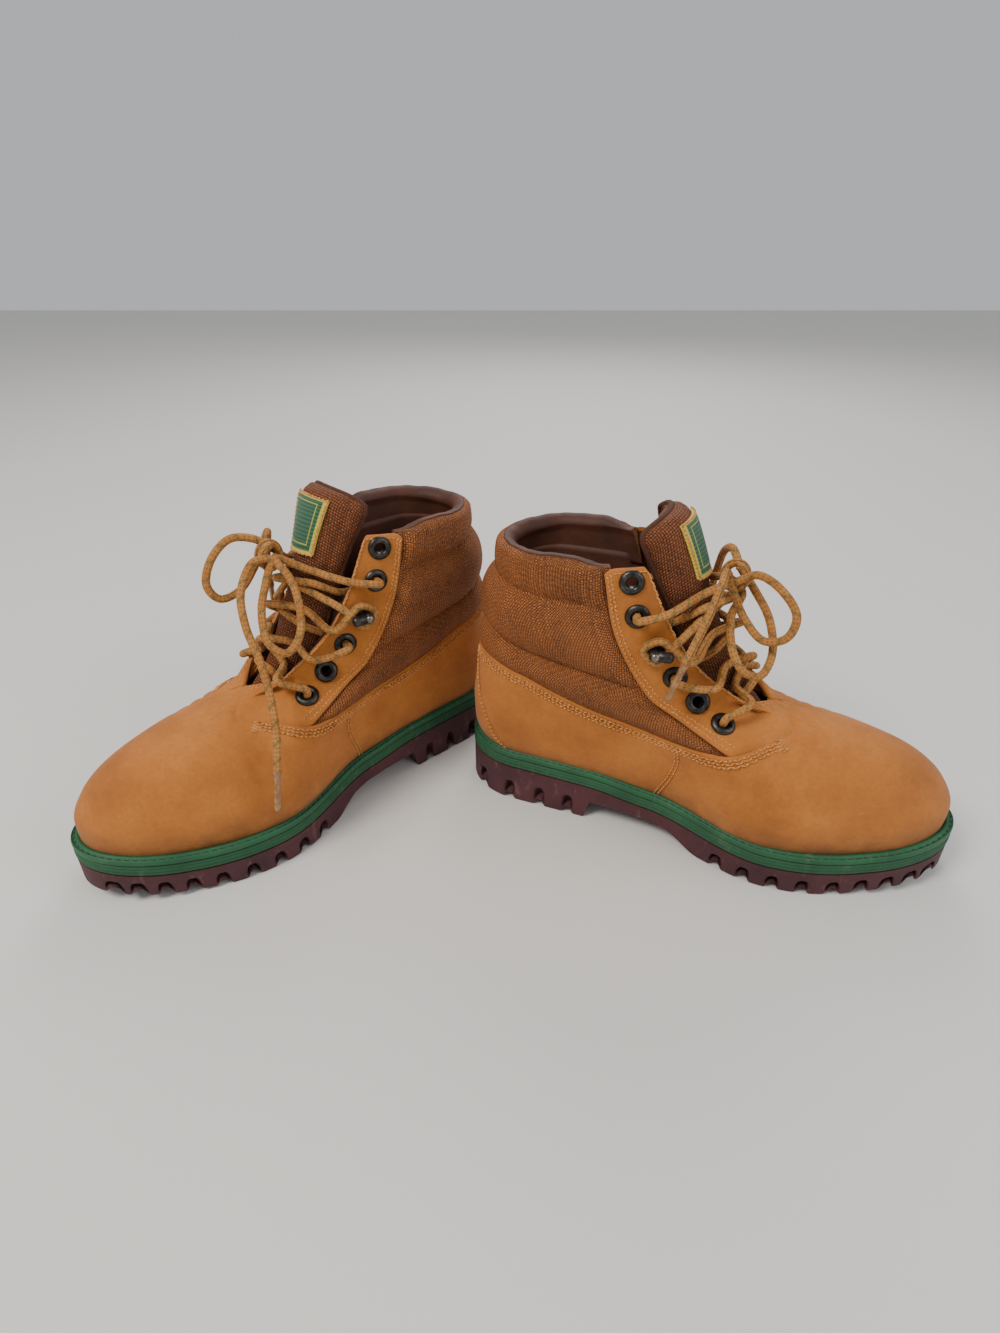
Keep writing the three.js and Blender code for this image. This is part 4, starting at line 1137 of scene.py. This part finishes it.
def make_collar(boot):
    """The quilted collar: puffed bands between sewn lines, rolled over the rim to the lining."""
    side, round_it = both_sides(np.linspace(0, 1, 181)[:, None])
    out = np.linspace(0, 1, 90)[None, :]
    reach = eyestay_rear(mix(EYESTAY_FOOT, 1, out)) + UNDER_EYESTAY_MARGIN
    u = reach * round_it
    foot = quarter_top(u) - UNDER_QUARTER_MARGIN
    v = mix(foot, 1, out)
    upper_seam = mix(*UPPER_QUILT_SEAM, np.clip(u / QUILT_SEAM_END, 0, 1))
    lower_seam = mix(*LOWER_QUILT_SEAM, np.clip(u / QUILT_SEAM_END, 0, 1))
    bands = [
        quilt_height((v - quarter_top(u) + 0.01) / (lower_seam - quarter_top(u) + 0.01)),
        quilt_height((v - lower_seam) / (upper_seam - lower_seam)),
        quilt_height((v - upper_seam) / (2 * (1 - upper_seam)), 0.5),
    ]
    puff = np.where(v < upper_seam, bands[1] * 7.0, bands[2] * 5.0)
    puff = np.where(v < lower_seam, bands[0] * 5.4, puff)
    puff = np.where(v < quarter_top(u), 0, puff)
    tame = smooth((1 - round_it - 0.03) / 0.1)
    arc = round_it * side * 150
    gathers = 0.45 * ripple(arc / 3.2, v * 30, 3) * np.clip(1 - puff / 6, 0.1, 1) * tame
    sag = 0.5 * ripple(arc / 17, v * 9, 5) * tame
    creased = (gathers + sag) * smooth((v - quarter_top(u)) / 0.03)
    outside = off_skin(side, u, v, COLLAR_SEAT + puff * tame + creased)
    outside = under_eyestay(side + 0 * v, u + 0 * v, v, outside, 1.6)
    edge_u = u[:, -1]
    edge_side = side[:, 0]
    rim = skin(edge_side, edge_u, 1.0)
    normal = skin_normal(edge_side, edge_u, 1.0)
    up = np.array([0.0, 0.0, 1.0]) - normal * normal[:, 2:]
    up = unit(up)
    top_height = (COLLAR_SEAT + puff * tame)[:, -1:]
    turn = np.linspace(0, 1, 17)[None, 1:]
    middle = (top_height - RIM_THICKNESS) / 2
    half = (top_height + RIM_THICKNESS) / 2
    wrinkle = 1 + 0.06 * ripple(arc / 5, 0, 6)
    roll_offset = middle + half * np.cos(math.pi * turn)
    rise = mix(0.1, 1, smooth((1 - round_it - 0.03) / 0.24))
    roll_height = ROLL_HEIGHT * np.sin(math.pi * turn) * wrinkle * rise

    def over_rim(offset, height):
        return rim[:, None] + normal[:, None] * offset[..., None] + up[:, None] * height[..., None]

    rolled = over_rim(roll_offset, roll_height)
    inside_v = np.linspace(1, 0.9, 9)[None, 1:]
    inside = off_skin(side, edge_u[:, None], inside_v, -RIM_THICKNESS + 1.2 * (inside_v - 0.9) / 0.1)
    back_v = np.concatenate([np.array([[0.88]]), np.linspace(0.8, 0, 7)[None]], axis=1)
    back_u = edge_u[:, None] + 0 * back_v
    back_v = mix(foot[:, -1:], 1, back_v)
    back = under_eyestay(side + 0 * back_v, back_u, back_v, off_skin(side, back_u, back_v, -5.2), 4.6)
    sections = np.concatenate([outside, rolled, inside, back], axis=1)
    matched = np.rint(np.concatenate([[0.88], np.linspace(0.8, 0, 7)]) * 89).astype(int)
    top = np.repeat(outside[:, -1:], rolled.shape[1] + inside.shape[1], axis=1)
    closed = np.concatenate([outside, top, outside[:, matched]], axis=1)
    sections = np.concatenate([closed[:1], sections, closed[-1:]])
    points, faces = loft(sections, caps=False)
    uv = arc_lengths(sections.transpose(1, 0, 2)).transpose(1, 0, 2).reshape(-1, 2)
    piece = boot.mesh("quilted_collar", points, faces, "weave", uv=uv,
                      replaces=["quilted_collar"], slot="woven_nylon")

    turn = np.linspace(0.4, 1, 14)[None, :]
    layers = []
    for proud in (0.5, -0.5):
        thick = proud * mix(0.1, 1, tame)
        offset = middle + (half + thick) * np.cos(math.pi * turn)
        height = (ROLL_HEIGHT + thick) * np.sin(math.pi * turn) * wrinkle * rise
        depth = -RIM_THICKNESS - thick + 1.2 * (inside_v - 0.9) / 0.1
        down = off_skin(side, edge_u[:, None], inside_v, depth)
        layers.append(np.concatenate([over_rim(offset, height), down], axis=1).transpose(1, 0, 2))
    points, faces = shell(*layers)
    boot.mesh("rim_lining", points, faces, "lining", uv=shell_uv(layers[0]), slot="smooth_lining")

    rows = []
    for band_side in (-1, 1):
        u = np.linspace(0.0, QUILT_SEAM_END, 150)
        for ends in (UPPER_QUILT_SEAM, LOWER_QUILT_SEAM):
            v = mix(*ends, u / QUILT_SEAM_END)
            line, normals = edge_line(band_side, u, v, -0.75, 0.0)
            rows.append((line, normals, 2.6, 2.0, 0.4, 0.0))
    sew(boot, "quilt_stitches", rows, "rust_thread", "woven_nylon")


def make_lining(boot):
    """The smooth lining inside the collar, and the lining of the vamp and quarters below it."""
    a, b = np.meshgrid(np.linspace(0, 1, 121), np.linspace(0, 1, 30))
    side, out = both_sides(a)
    u = (eyestay_rear(mix(EYESTAY_FOOT, 1, b)) + UNDER_EYESTAY_MARGIN) * out
    v = mix(quarter_top(u) - UNDER_QUARTER_MARGIN, 0.93, b)
    pad = 1.6 * quilt_height((v - 0.55) / 0.42, 0.7) + 0.25 * ripple(u * 30 * side, v * 12, 4)
    outer = under_eyestay(side, u, v, off_skin(side, u, v, np.full_like(v, -7.5)), 6.0)
    inner = under_eyestay(side, u, v, off_skin(side, u, v, -8.9 - pad * 0.5), 7.2)
    points, faces = shell(outer, inner)
    boot.mesh("collar_lining", points, faces, "lining", uv=shell_uv(outer),
              replaces=["collar_lining"], slot="smooth_lining")

    a, b = np.meshgrid(np.linspace(0, 1, 161), np.linspace(0, 1, 26))
    side, out = both_sides(a)
    u = 1 - out
    v = mix(0.06, quarter_top(u) - 0.015, b)
    depth = mix(-0.5, -5.5, smooth((b - 0.45) / 0.5) * smooth((0.62 - u) / 0.12))
    outer = off_skin(side, u, v, depth)
    inner = off_skin(side, u, v, depth - 1.2)
    points, faces = shell(outer, inner)
    boot.mesh("inner_lining", points, faces, "inside", uv=shell_uv(outer), slot="smooth_lining")


def tongue_top(b, angle):
    """Shares up the tongue, drawn down toward its two rounded top corners."""
    return b - 0.075 * smooth((b - TONGUE_QUILT) / 0.4) * np.abs(angle / TONGUE_EDGE) ** 4


def pillow(b, angle):
    """How far the padded top of the tongue swells."""
    across = np.maximum(0, 1 - np.abs(angle / TONGUE_EDGE) ** 3)
    return TONGUE_PILLOW * across * quilt_height((b - TONGUE_QUILT) / 0.41, 0.6)


def make_tongue(boot):
    """The padded tongue with its bound edge, patch and gussets."""
    a = spaced(44, 60, 3)[None, :]
    b = spaced(110, 160, 3)[:, None]
    angle = mix(-TONGUE_EDGE, TONGUE_EDGE, a) + 0 * b
    drop = np.maximum(rounded(a, 60, 5), rounded(b, 160, 5))
    thin = mix(1, 0.55, np.abs(2 * a - 1)) * mix(0.45, 1, smooth(b / 0.3))
    high = tongue_top(b, angle)
    channel = np.exp(-(((b - TONGUE_QUILT) / 0.012) ** 2))
    channel = channel + np.exp(-(((np.abs(angle) - 0.95) / 0.06) ** 2)) * smooth((b - 0.55) / 0.04)
    crease = 0.35 * ripple(angle * 7, b * 26, 7)
    swell = pillow(b, angle)
    front = tongue_point(high, angle, 0.2 + 2.6 * drop + 1.5 * channel - crease - swell)
    depth = 8 * thin + 3.5 * swell / TONGUE_PILLOW - 3.4 * drop + 0.3 * ripple(angle * 5, b * 20, 8)
    points, faces = shell(front, tongue_point(high, angle, depth))
    piece = boot.mesh("tongue", points, faces, "tongue", uv=shell_uv(front),
                      body=boot.flap, replaces=["tongue"], slot="woven_nylon")

    up = np.linspace(0.12, 0.995, 90)
    over = np.linspace(-TONGUE_EDGE, TONGUE_EDGE, 40)[1:-1]
    outline = np.concatenate([
        tongue_point(tongue_top(up, -TONGUE_EDGE), -TONGUE_EDGE, 2.2),
        tongue_point(tongue_top(0.998, over), over, 3.6),
        tongue_point(tongue_top(up[::-1], TONGUE_EDGE), TONGUE_EDGE, 2.2),
    ])
    line = catmull(outline[::4], 1.2)
    points, faces, uv = tube(line, 1.8, around=12)
    uv = uv * np.array([11.0, 1.0])
    boot.mesh("tongue_binding", points, faces, "binding", uv=uv, body=boot.flap, slot="woven_nylon")

    a, b = np.meshgrid(np.linspace(-LABEL_EDGE, LABEL_EDGE, 24), np.linspace(LABEL_FOOT, LABEL_TOP, 24))
    swell = pillow(b, a)
    points, faces = shell(tongue_point(b, a, -1.7 - swell), tongue_point(b, a, 0.2 - swell))
    grid = np.stack([
        (a + LABEL_EDGE) / (2 * LABEL_EDGE), (b - LABEL_FOOT) / (LABEL_TOP - LABEL_FOOT),
    ], -1).reshape(-1, 2)
    boot.mesh("tongue_label", points, faces, "label", uv=np.concatenate([grid, grid]),
              body=boot.flap, replaces=["tongue_label"], slot="woven_label", sharp=50)
    corners = np.array([
        (-LABEL_EDGE, LABEL_FOOT), (LABEL_EDGE, LABEL_FOOT), (LABEL_EDGE, LABEL_TOP),
        (-LABEL_EDGE, LABEL_TOP),
    ])
    t = np.linspace(0, 1, 14)[:-1, None]
    edge = np.concatenate([mix(start, end, t) for start, end in zip(corners, np.roll(corners, -1, 0))])
    angle, high = edge.T
    border = tongue_point(high, angle, -1.6 - pillow(high, angle))
    centre = np.zeros(len(border))
    normals = unit(tongue_point(0.76, centre, -10.0) - tongue_point(0.76, centre, 0.0))
    row = (np.vstack([border, border[:1]]), np.vstack([normals, normals[:1]]), 1.3, 2.6, 0.55, 1.0)
    points, faces = stitch_row(*row)
    boot.mesh("label_edge", points, faces, "tan_thread", body=boot.flap, slot="woven_label")

    for side, name in SIDES:
        s = np.linspace(0.14, 0.55, 34)[:, None]
        inner = tongue_point(s[:, 0], side * 1.2, 4.0)
        level_v = mix(0.63, 0.84, (s[:, 0] - 0.14) / 0.41)
        outer = off_skin(side, np.full_like(level_v, 0.95), level_v, -4.2)
        t = np.linspace(0, 1, 12)[None, :]
        sheet_points = mix(inner[:, None], outer[:, None], t[..., None])
        sag = np.sin(math.pi * t) * (5 + 1.2 * np.sin(s * 60))
        sheet_points = sheet_points - np.array([0.75, 0.0, 0.35]) * sag[..., None]
        lower = sheet_points + np.array([-0.6, 0.0, -0.6])
        points, faces = shell(sheet_points, lower)
        gusset = boot.mesh(f"gusset_{name}", points, faces, "gusset", uv=shell_uv(sheet_points),
                           body=False, slot="woven_nylon")
        start, end = (boot.world(edge[len(s) // 2]).tolist() for edge in (outer, inner))
        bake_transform(gusset)


def make_fittings(boot):
    """The eyelets and hooks of both eyestays."""
    for side, name in SIDES:
        for k, spot in enumerate(EYELETS):
            place, normal, forward = fitting_frame(side, spot)
            foot = 2.0
            profile = [
                (3.0, -0.9), (3.7, -0.9), (3.7, foot - 0.4), (6.9, foot - 0.5), (7.0, foot + 0.7),
                (6.8, foot + 1.3), (6.1, foot + 1.9), (5.2, foot + 2.35), (4.2, foot + 2.4),
                (3.4, foot + 2.0), (3.0, foot + 1.2),
            ]
            points, faces = lathe(profile, place, normal, forward, 36)
            boot.mesh(f"eyelet_{name}_{k + 1}", points, faces, "gunmetal",
                      replaces=[f"eyelet_{name}_{k + 1}"], slot="gunmetal", sharp=60)
        make_hook(boot, side, name)


def make_hook(boot, side, name):
    """A speed hook: riveted foot, stem, and a barrel that the lace runs under."""
    place, normal, forward = fitting_frame(side, HOOK)
    seat = place + normal * 2.4
    foot = [
        (0.01, 0), (5.6, 0), (5.7, 0.5), (5.4, 1.1), (3.6, 1.35), (2.3, 2.2), (2.0, 3.2), (0.01, 3.2),
    ]
    stem = [(0.01, 2.6), (2.1, 2.6), (2.0, 9.6), (0.01, 9.6)]
    across = np.cross(normal, forward)
    start = seat + normal * 10.2 - forward * 2.4
    barrel = [
        (0.01, -0.9), (1.6, -0.7), (2.8, 0.1), (3.1, 1.2), (3.1, 3.2), (2.8, 3.6), (2.8, 4.2),
        (3.1, 4.6), (3.1, 10.4), (2.7, 11.6), (1.5, 12.4), (0.01, 12.6),
    ]
    parts = [
        lathe(foot, seat, normal, forward), lathe(stem, seat, normal, forward, 20),
        lathe(barrel, start, forward, across, 28),
    ]
    points, faces = joined(*parts)
    boot.mesh(f"hook_{name}", points, faces, "gunmetal",
              replaces=[f"hook_{name}"], slot="gunmetal", sharp=45)
    rivet = [(0.01, 0.0), (2.5, 0.0), (2.4, 0.7), (1.7, 1.3), (0.8, 1.6), (0.01, 1.65)]
    points, faces = lathe(rivet, start + normal * 2.2 + forward * 2.4, normal, forward, 24)
    boot.mesh(f"hook_rivet_{name}", points, faces, "rivet", slot="gunmetal")


# ---------------------------------------------------------------- sole


def sole_edge(side, t, grow=0.0):
    """The sole's outline, grown outward by a distance."""
    half = np.where(np.asarray(side) < 0, through(SOLE_STATIONS, LATERAL_HALF_WIDTHS, t),
                    through(SOLE_STATIONS, MEDIAL_HALF_WIDTHS, t)) + grow
    heel = np.sqrt(np.maximum(0, 1 - np.maximum(0, 1 - t / SOLE_HEEL_CAP) ** 2))
    toe = np.sqrt(np.maximum(0, 1 - np.maximum(0, (t - 1 + SOLE_TOE_CAP) / SOLE_TOE_CAP) ** 2))
    x = mix(-grow, SOLE_LENGTH + grow, t)
    return x, swing(x) + side * half * heel * toe


def sole_ring(count, grow=0.0):
    """How far along the sole each point of its outline lies, the points, and their outward ways."""
    turn = np.arange(count) / count
    t = (1 - np.cos(TAU * turn)) / 2
    side = np.where(turn < 0.5, -1.0, 1.0)
    x, y = sole_edge(side, t, grow)
    line = np.stack([x, y], -1)
    tangent = unit(np.roll(line, -1, 0) - np.roll(line, 1, 0))
    outward = np.stack([tangent[:, 1], -tangent[:, 0]], -1)
    if np.mean(np.sum(outward * (line - line.mean(0)), -1)) < 0:
        outward = -outward
    return t, line, outward


def sole_band(boot, name, look, slot, count, profile, **options):
    """A closed band round the sole: profile gives (outset, height) pairs at each place along it."""
    t, line, outward = sole_ring(count)
    sections = []
    for outset, height in profile(line):
        flat = line + outward * np.asarray(outset)[..., None] * np.ones((len(t), 1))
        sections.append(np.concatenate([flat, (height + 0 * t)[:, None]], 1))
    points, faces = loft(np.stack(sections, 1), closed=True)
    return boot.mesh(name, points, faces, look, slot=slot, **options)


def lug_gap(x, across, t):
    """1 in the grooves between the tread's lugs, 0 on the lugs. across runs from -1 to 1."""
    notches = HEEL_NOTCHES + FOREFOOT_NOTCHES
    edges = sum(np.exp(-(((t - at) * SOLE_LENGTH / 3.0) ** 4)) for at in notches)
    edge_cut = np.clip(edges, 0, 1) * smooth((np.abs(across) - 0.66) / 0.06)
    ring = np.exp(-(((np.abs(across) - 0.64) / 0.05) ** 4))
    slant = x + 13 * np.abs(across) * np.where(x > 130, -1, 1)
    rows = np.where(np.abs(across) < 0.6, np.exp(-((((slant / 17) % 1 - 0.5) * 17 / 2.4) ** 4)), 0)
    spine = np.exp(-((across / 0.05) ** 4)) * (x > 150)
    return np.clip(np.maximum.reduce([edge_cut, ring, rows, spine]), 0, 1)


def make_sole(boot):
    """The lugged outsole, the midsole, and the sewn welt."""
    close_at_ends = (1 - np.cos(math.pi * np.linspace(0, 1, 420))) / 2
    t = np.unique(np.concatenate([close_at_ends, np.linspace(0, 1, 260)]))
    t, s = np.meshgrid(t, np.linspace(-1, 1, 73), indexing="ij")
    x, lateral = sole_edge(-1.0, t)
    _, medial = sole_edge(1.0, t)
    y = mix(lateral, medial, (s + 1) / 2)
    top = outsole_top(x)
    tread = along(TREAD, x)
    deep = 4.5 * lug_gap(x, s, t) * np.where((x > 90) & (x < 163), 0.25, 1)
    bottom = tread + deep
    inset = 1.2 * (np.abs(s) > 0.999)
    bottom_grid = np.stack([x, y, bottom + 0.5 * inset], -1)
    wall = []
    for share in np.linspace(0, 1, 9):
        notch = lug_gap(x, np.sign(s), t) * smooth((0.42 - share) / 0.1)
        reach = 1 - notch * 6.5 / np.maximum(np.abs(y - swing(x)), 8)
        ribs = 0.35 * (np.abs(share - 0.62) < 0.07) - 0.25 * (np.abs(share - 0.75) < 0.05)
        wide = swing(x) + (y - swing(x)) * reach * (1 + ribs / 60)
        wall.append(np.stack([x, wide, mix(bottom, top, share)], -1))
    left_wall = [layer[:, 0] for layer in wall]
    right_wall = [layer[:, -1] for layer in wall]
    top_grid = np.stack([x, y, top], -1)[:, ::4]
    sections = np.concatenate([
        bottom_grid, np.stack(right_wall, 1)[:, 1:], top_grid[:, ::-1][:, 1:-1],
        np.stack(left_wall[::-1], 1)[:, :-1],
    ], axis=1)
    points, faces = loft(sections[1:-1])
    boot.mesh("outsole", points, faces, "outsole",
              replaces=["outsole"], slot="outsole_rubber", sharp=38)

    def midsole_wall(line):
        top = outsole_top(line[:, 0])
        heights = np.linspace(0.15, MIDSOLE, 15)
        outsets = [-0.9, -0.3, 0.1, 0.2, 0.25, -0.15, 0.25, 0.3, 0.3, 0.25, -0.15, 0.2, 0.1, -0.3, -1.0]
        rim = [(outset, top + height) for outset, height in zip(outsets, heights)]
        return [(-14, top + 0.3), *rim, (-14, top + MIDSOLE)]

    sole_band(boot, "midsole", "midsole", "midsole_rubber", 420, midsole_wall,
              replaces=["midsole"], sharp=60)

    def welt_section(line):
        base = outsole_top(line[:, 0]) + MIDSOLE + 0.4
        shape = [
            (-5.6, 0.0), (-5.6, 2.6), (-4.6, 3.9), (-3.0, 4.3), (-2.2, 3.6), (-1.9, 3.1), (-1.3, 3.0),
            (-0.9, 3.3), (-0.5, 3.9), (-0.1, 3.7), (0.15, 2.8), (0.2, 1.4), (0.1, 0.4), (-0.4, 0.0),
        ]
        return [(outset, base + height) for outset, height in shape]

    sole_band(boot, "welt", "welt", "welt_rubber", 420, welt_section, replaces=["welt"], sharp=60)
    t, line, outward = sole_ring(420)
    seam = np.concatenate([line - outward * 1.6, (outsole_top(line[:, 0]) + MIDSOLE + 3.5)[:, None]], 1)
    normals = np.concatenate([outward * 0.35, np.full((len(line), 1), 0.94)], 1)
    row = (np.vstack([seam, seam[:1]]), np.vstack([normals, normals[:1]]), 4.6, 3.7, 0.62, 0.0)
    points, faces = stitch_row(*row)
    boot.mesh("welt_stitches", points, faces, "welt_thread", slot="welt_rubber")
    make_footbed(boot)


def make_footbed(boot):
    """The cupped footbed, and the board under it in its own finish."""
    t = (1 - np.cos(math.pi * np.linspace(0, 1, 80))) / 2
    s = np.linspace(-1, 1, 25)
    t, s = np.meshgrid(t, s, indexing="ij")
    x, lateral = sole_edge(-1.0, t, -10.0)
    _, medial = sole_edge(1.0, t, -10.0)
    y = mix(lateral, medial, (s + 1) / 2)
    base = outsole_top(x) + MIDSOLE
    cup = 2.2 * s**4 * smooth((150 - x) / 60) + 0.15 * ripple(x / 9, y / 9, 9)
    top = np.stack([x, y, base + 8.0 + cup], -1)
    bottom = np.stack([x, y, base + 3.4 + 0 * x], -1)
    points, faces = shell(top, bottom)
    flat = np.stack([x, y], -1).reshape(-1, 2)
    boot.mesh("footbed", points, faces, "footbed", uv=np.concatenate([flat, flat]),
              replaces=["footbed"], slot="footbed_textile", sharp=50)
    node = bpy.data.objects.get(f"{boot.side}_insole_board")
    node.data.materials.clear()
    node.data.materials.append(LOOKS["board"])


# ---------------------------------------------------------------- laces


def make_lace(boot):
    """The lace along the part's own route, with its knot and its two tips."""
    route = lace_route(boot.bow)
    line = catmull(route, 0.7)
    points, faces, uv = tube(line, LACE / 2, around=16, braid=BRAID_RELIEF)
    lace = boot.mesh("lace", points, faces, "braid", uv=uv, replaces=["lace"], slot="lace_braid")
    for name, end, before in (("lateral", route[0], route[1]), ("medial", route[-1], route[-2])):
        direction = unit(end - before)
        start = end - direction * 1.0
        crimp = [
            (0.01, 0), (2.45, 0), (2.5, 1.2), (2.0, 2.4), (1.95, 6.5), (1.8, 7.0), (1.8, 7.6),
            (1.95, 8.1), (1.9, 20), (1.7, 22.3), (1.1, 23), (0.01, 23.1),
        ]
        side_way = np.cross(direction, (0.3, 0.4, 1.0))
        points, faces = lathe(crimp, start, direction, side_way, 20)
        boot.mesh(f"aglet_{name}", points, faces, "aglet", replaces=[f"aglet_{name}"],
                              slot="aglet_plastic", sharp=50)
    knot = make_knot(boot)
    path = boot.world(catmull(route, 2.0))


def make_knot(boot):
    """The band of lace that wraps the bow's two loops where they cross."""
    centre = np.array(boot.bow["knot"], float)
    turn = np.linspace(0, 1.45 * TAU, 70)
    lean = np.linspace(-3.2, 3.2, 70)
    ring = np.stack([6.0 * np.sin(turn), lean, 7.2 * np.cos(turn)], -1)
    line = even(centre + ring, 0.7)
    points, faces, uv = tube(line, LACE / 2, around=16, braid=BRAID_RELIEF)
    return boot.mesh("lace_knot", points, faces, "braid", uv=uv, slot="lace_braid")


# ---------------------------------------------------------------- camera, light and floor


def make_camera():
    """The photograph's own viewing angle."""
    camera = bpy.data.objects.new("camera", bpy.data.cameras.new("camera"))
    camera.location = (-0.010203, -0.408743, 0.3394)
    camera.rotation_euler = (math.radians(58.91), 0, 0)
    camera.data.lens = 20.255
    camera.data.sensor_width = 36
    camera.data.clip_start = 0.01
    bpy.context.scene.collection.objects.link(camera)
    bpy.context.scene.camera = camera


def area_light(name, place, aim, size, power, color=(1, 1, 1)):
    """A round soft light, turned to its aim."""
    lamp = bpy.data.lights.new(name, "AREA")
    lamp.shape = "DISK"
    lamp.size = size
    lamp.energy = power
    lamp.color = color
    holder = bpy.data.objects.new(name, lamp)
    holder.location = place
    holder.rotation_euler = (Vector(aim) - Vector(place)).to_track_quat("-Z", "Y").to_euler()
    bpy.context.scene.collection.objects.link(holder)


def make_studio():
    """Soft lights and a plain pale floor."""
    world = bpy.data.worlds.new("studio")
    world.use_nodes = True
    background = world.node_tree.nodes["Background"]
    background.inputs["Color"].default_value = (0.92, 0.95, 1.0, 1)
    background.inputs["Strength"].default_value = 0.55
    bpy.context.scene.world = world
    area_light("key", (-0.9, -0.7, 1.5), (0, 0, 0.05), 0.7, 26, (1.0, 0.97, 0.92))
    area_light("fill", (1.3, -0.6, 0.9), (0, 0, 0.08), 1.2, 10, (0.92, 0.96, 1.0))
    area_light("back", (0.2, 1.4, 1.2), (0, 0, 0.1), 1.0, 12)
    floor = bpy.data.meshes.new("floor")
    corners = [(-3, -3, 0), (3, -3, 0), (3, 3, 0), (-3, 3, 0)]
    floor.from_pydata(corners, [], [(0, 1, 2, 3)])
    look = Look("floor", roughness=0.8)
    look.color(srgb(214, 210, 204))
    floor.materials.append(look.material)
    piece = bpy.data.objects.new("floor", floor)
    bpy.context.scene.collection.objects.link(piece)


# ---------------------------------------------------------------- the scene

make_camera()
boots = [
    Boot("right", False, (-25.602827, 25.356916), -21.1, RIGHT_BOW),
    Boot("left", True, (-26.802827, 100.456916), 222.8, LEFT_BOW),
]
for pair_boot in boots:
    make_lace(pair_boot)
for pair_boot in boots:
    make_sole(pair_boot)
    make_upper(pair_boot)
    make_eyestays(pair_boot)
    make_collar(pair_boot)
    make_lining(pair_boot)
    make_tongue(pair_boot)
    make_fittings(pair_boot)
make_studio()

bpy.context.view_layer.update()
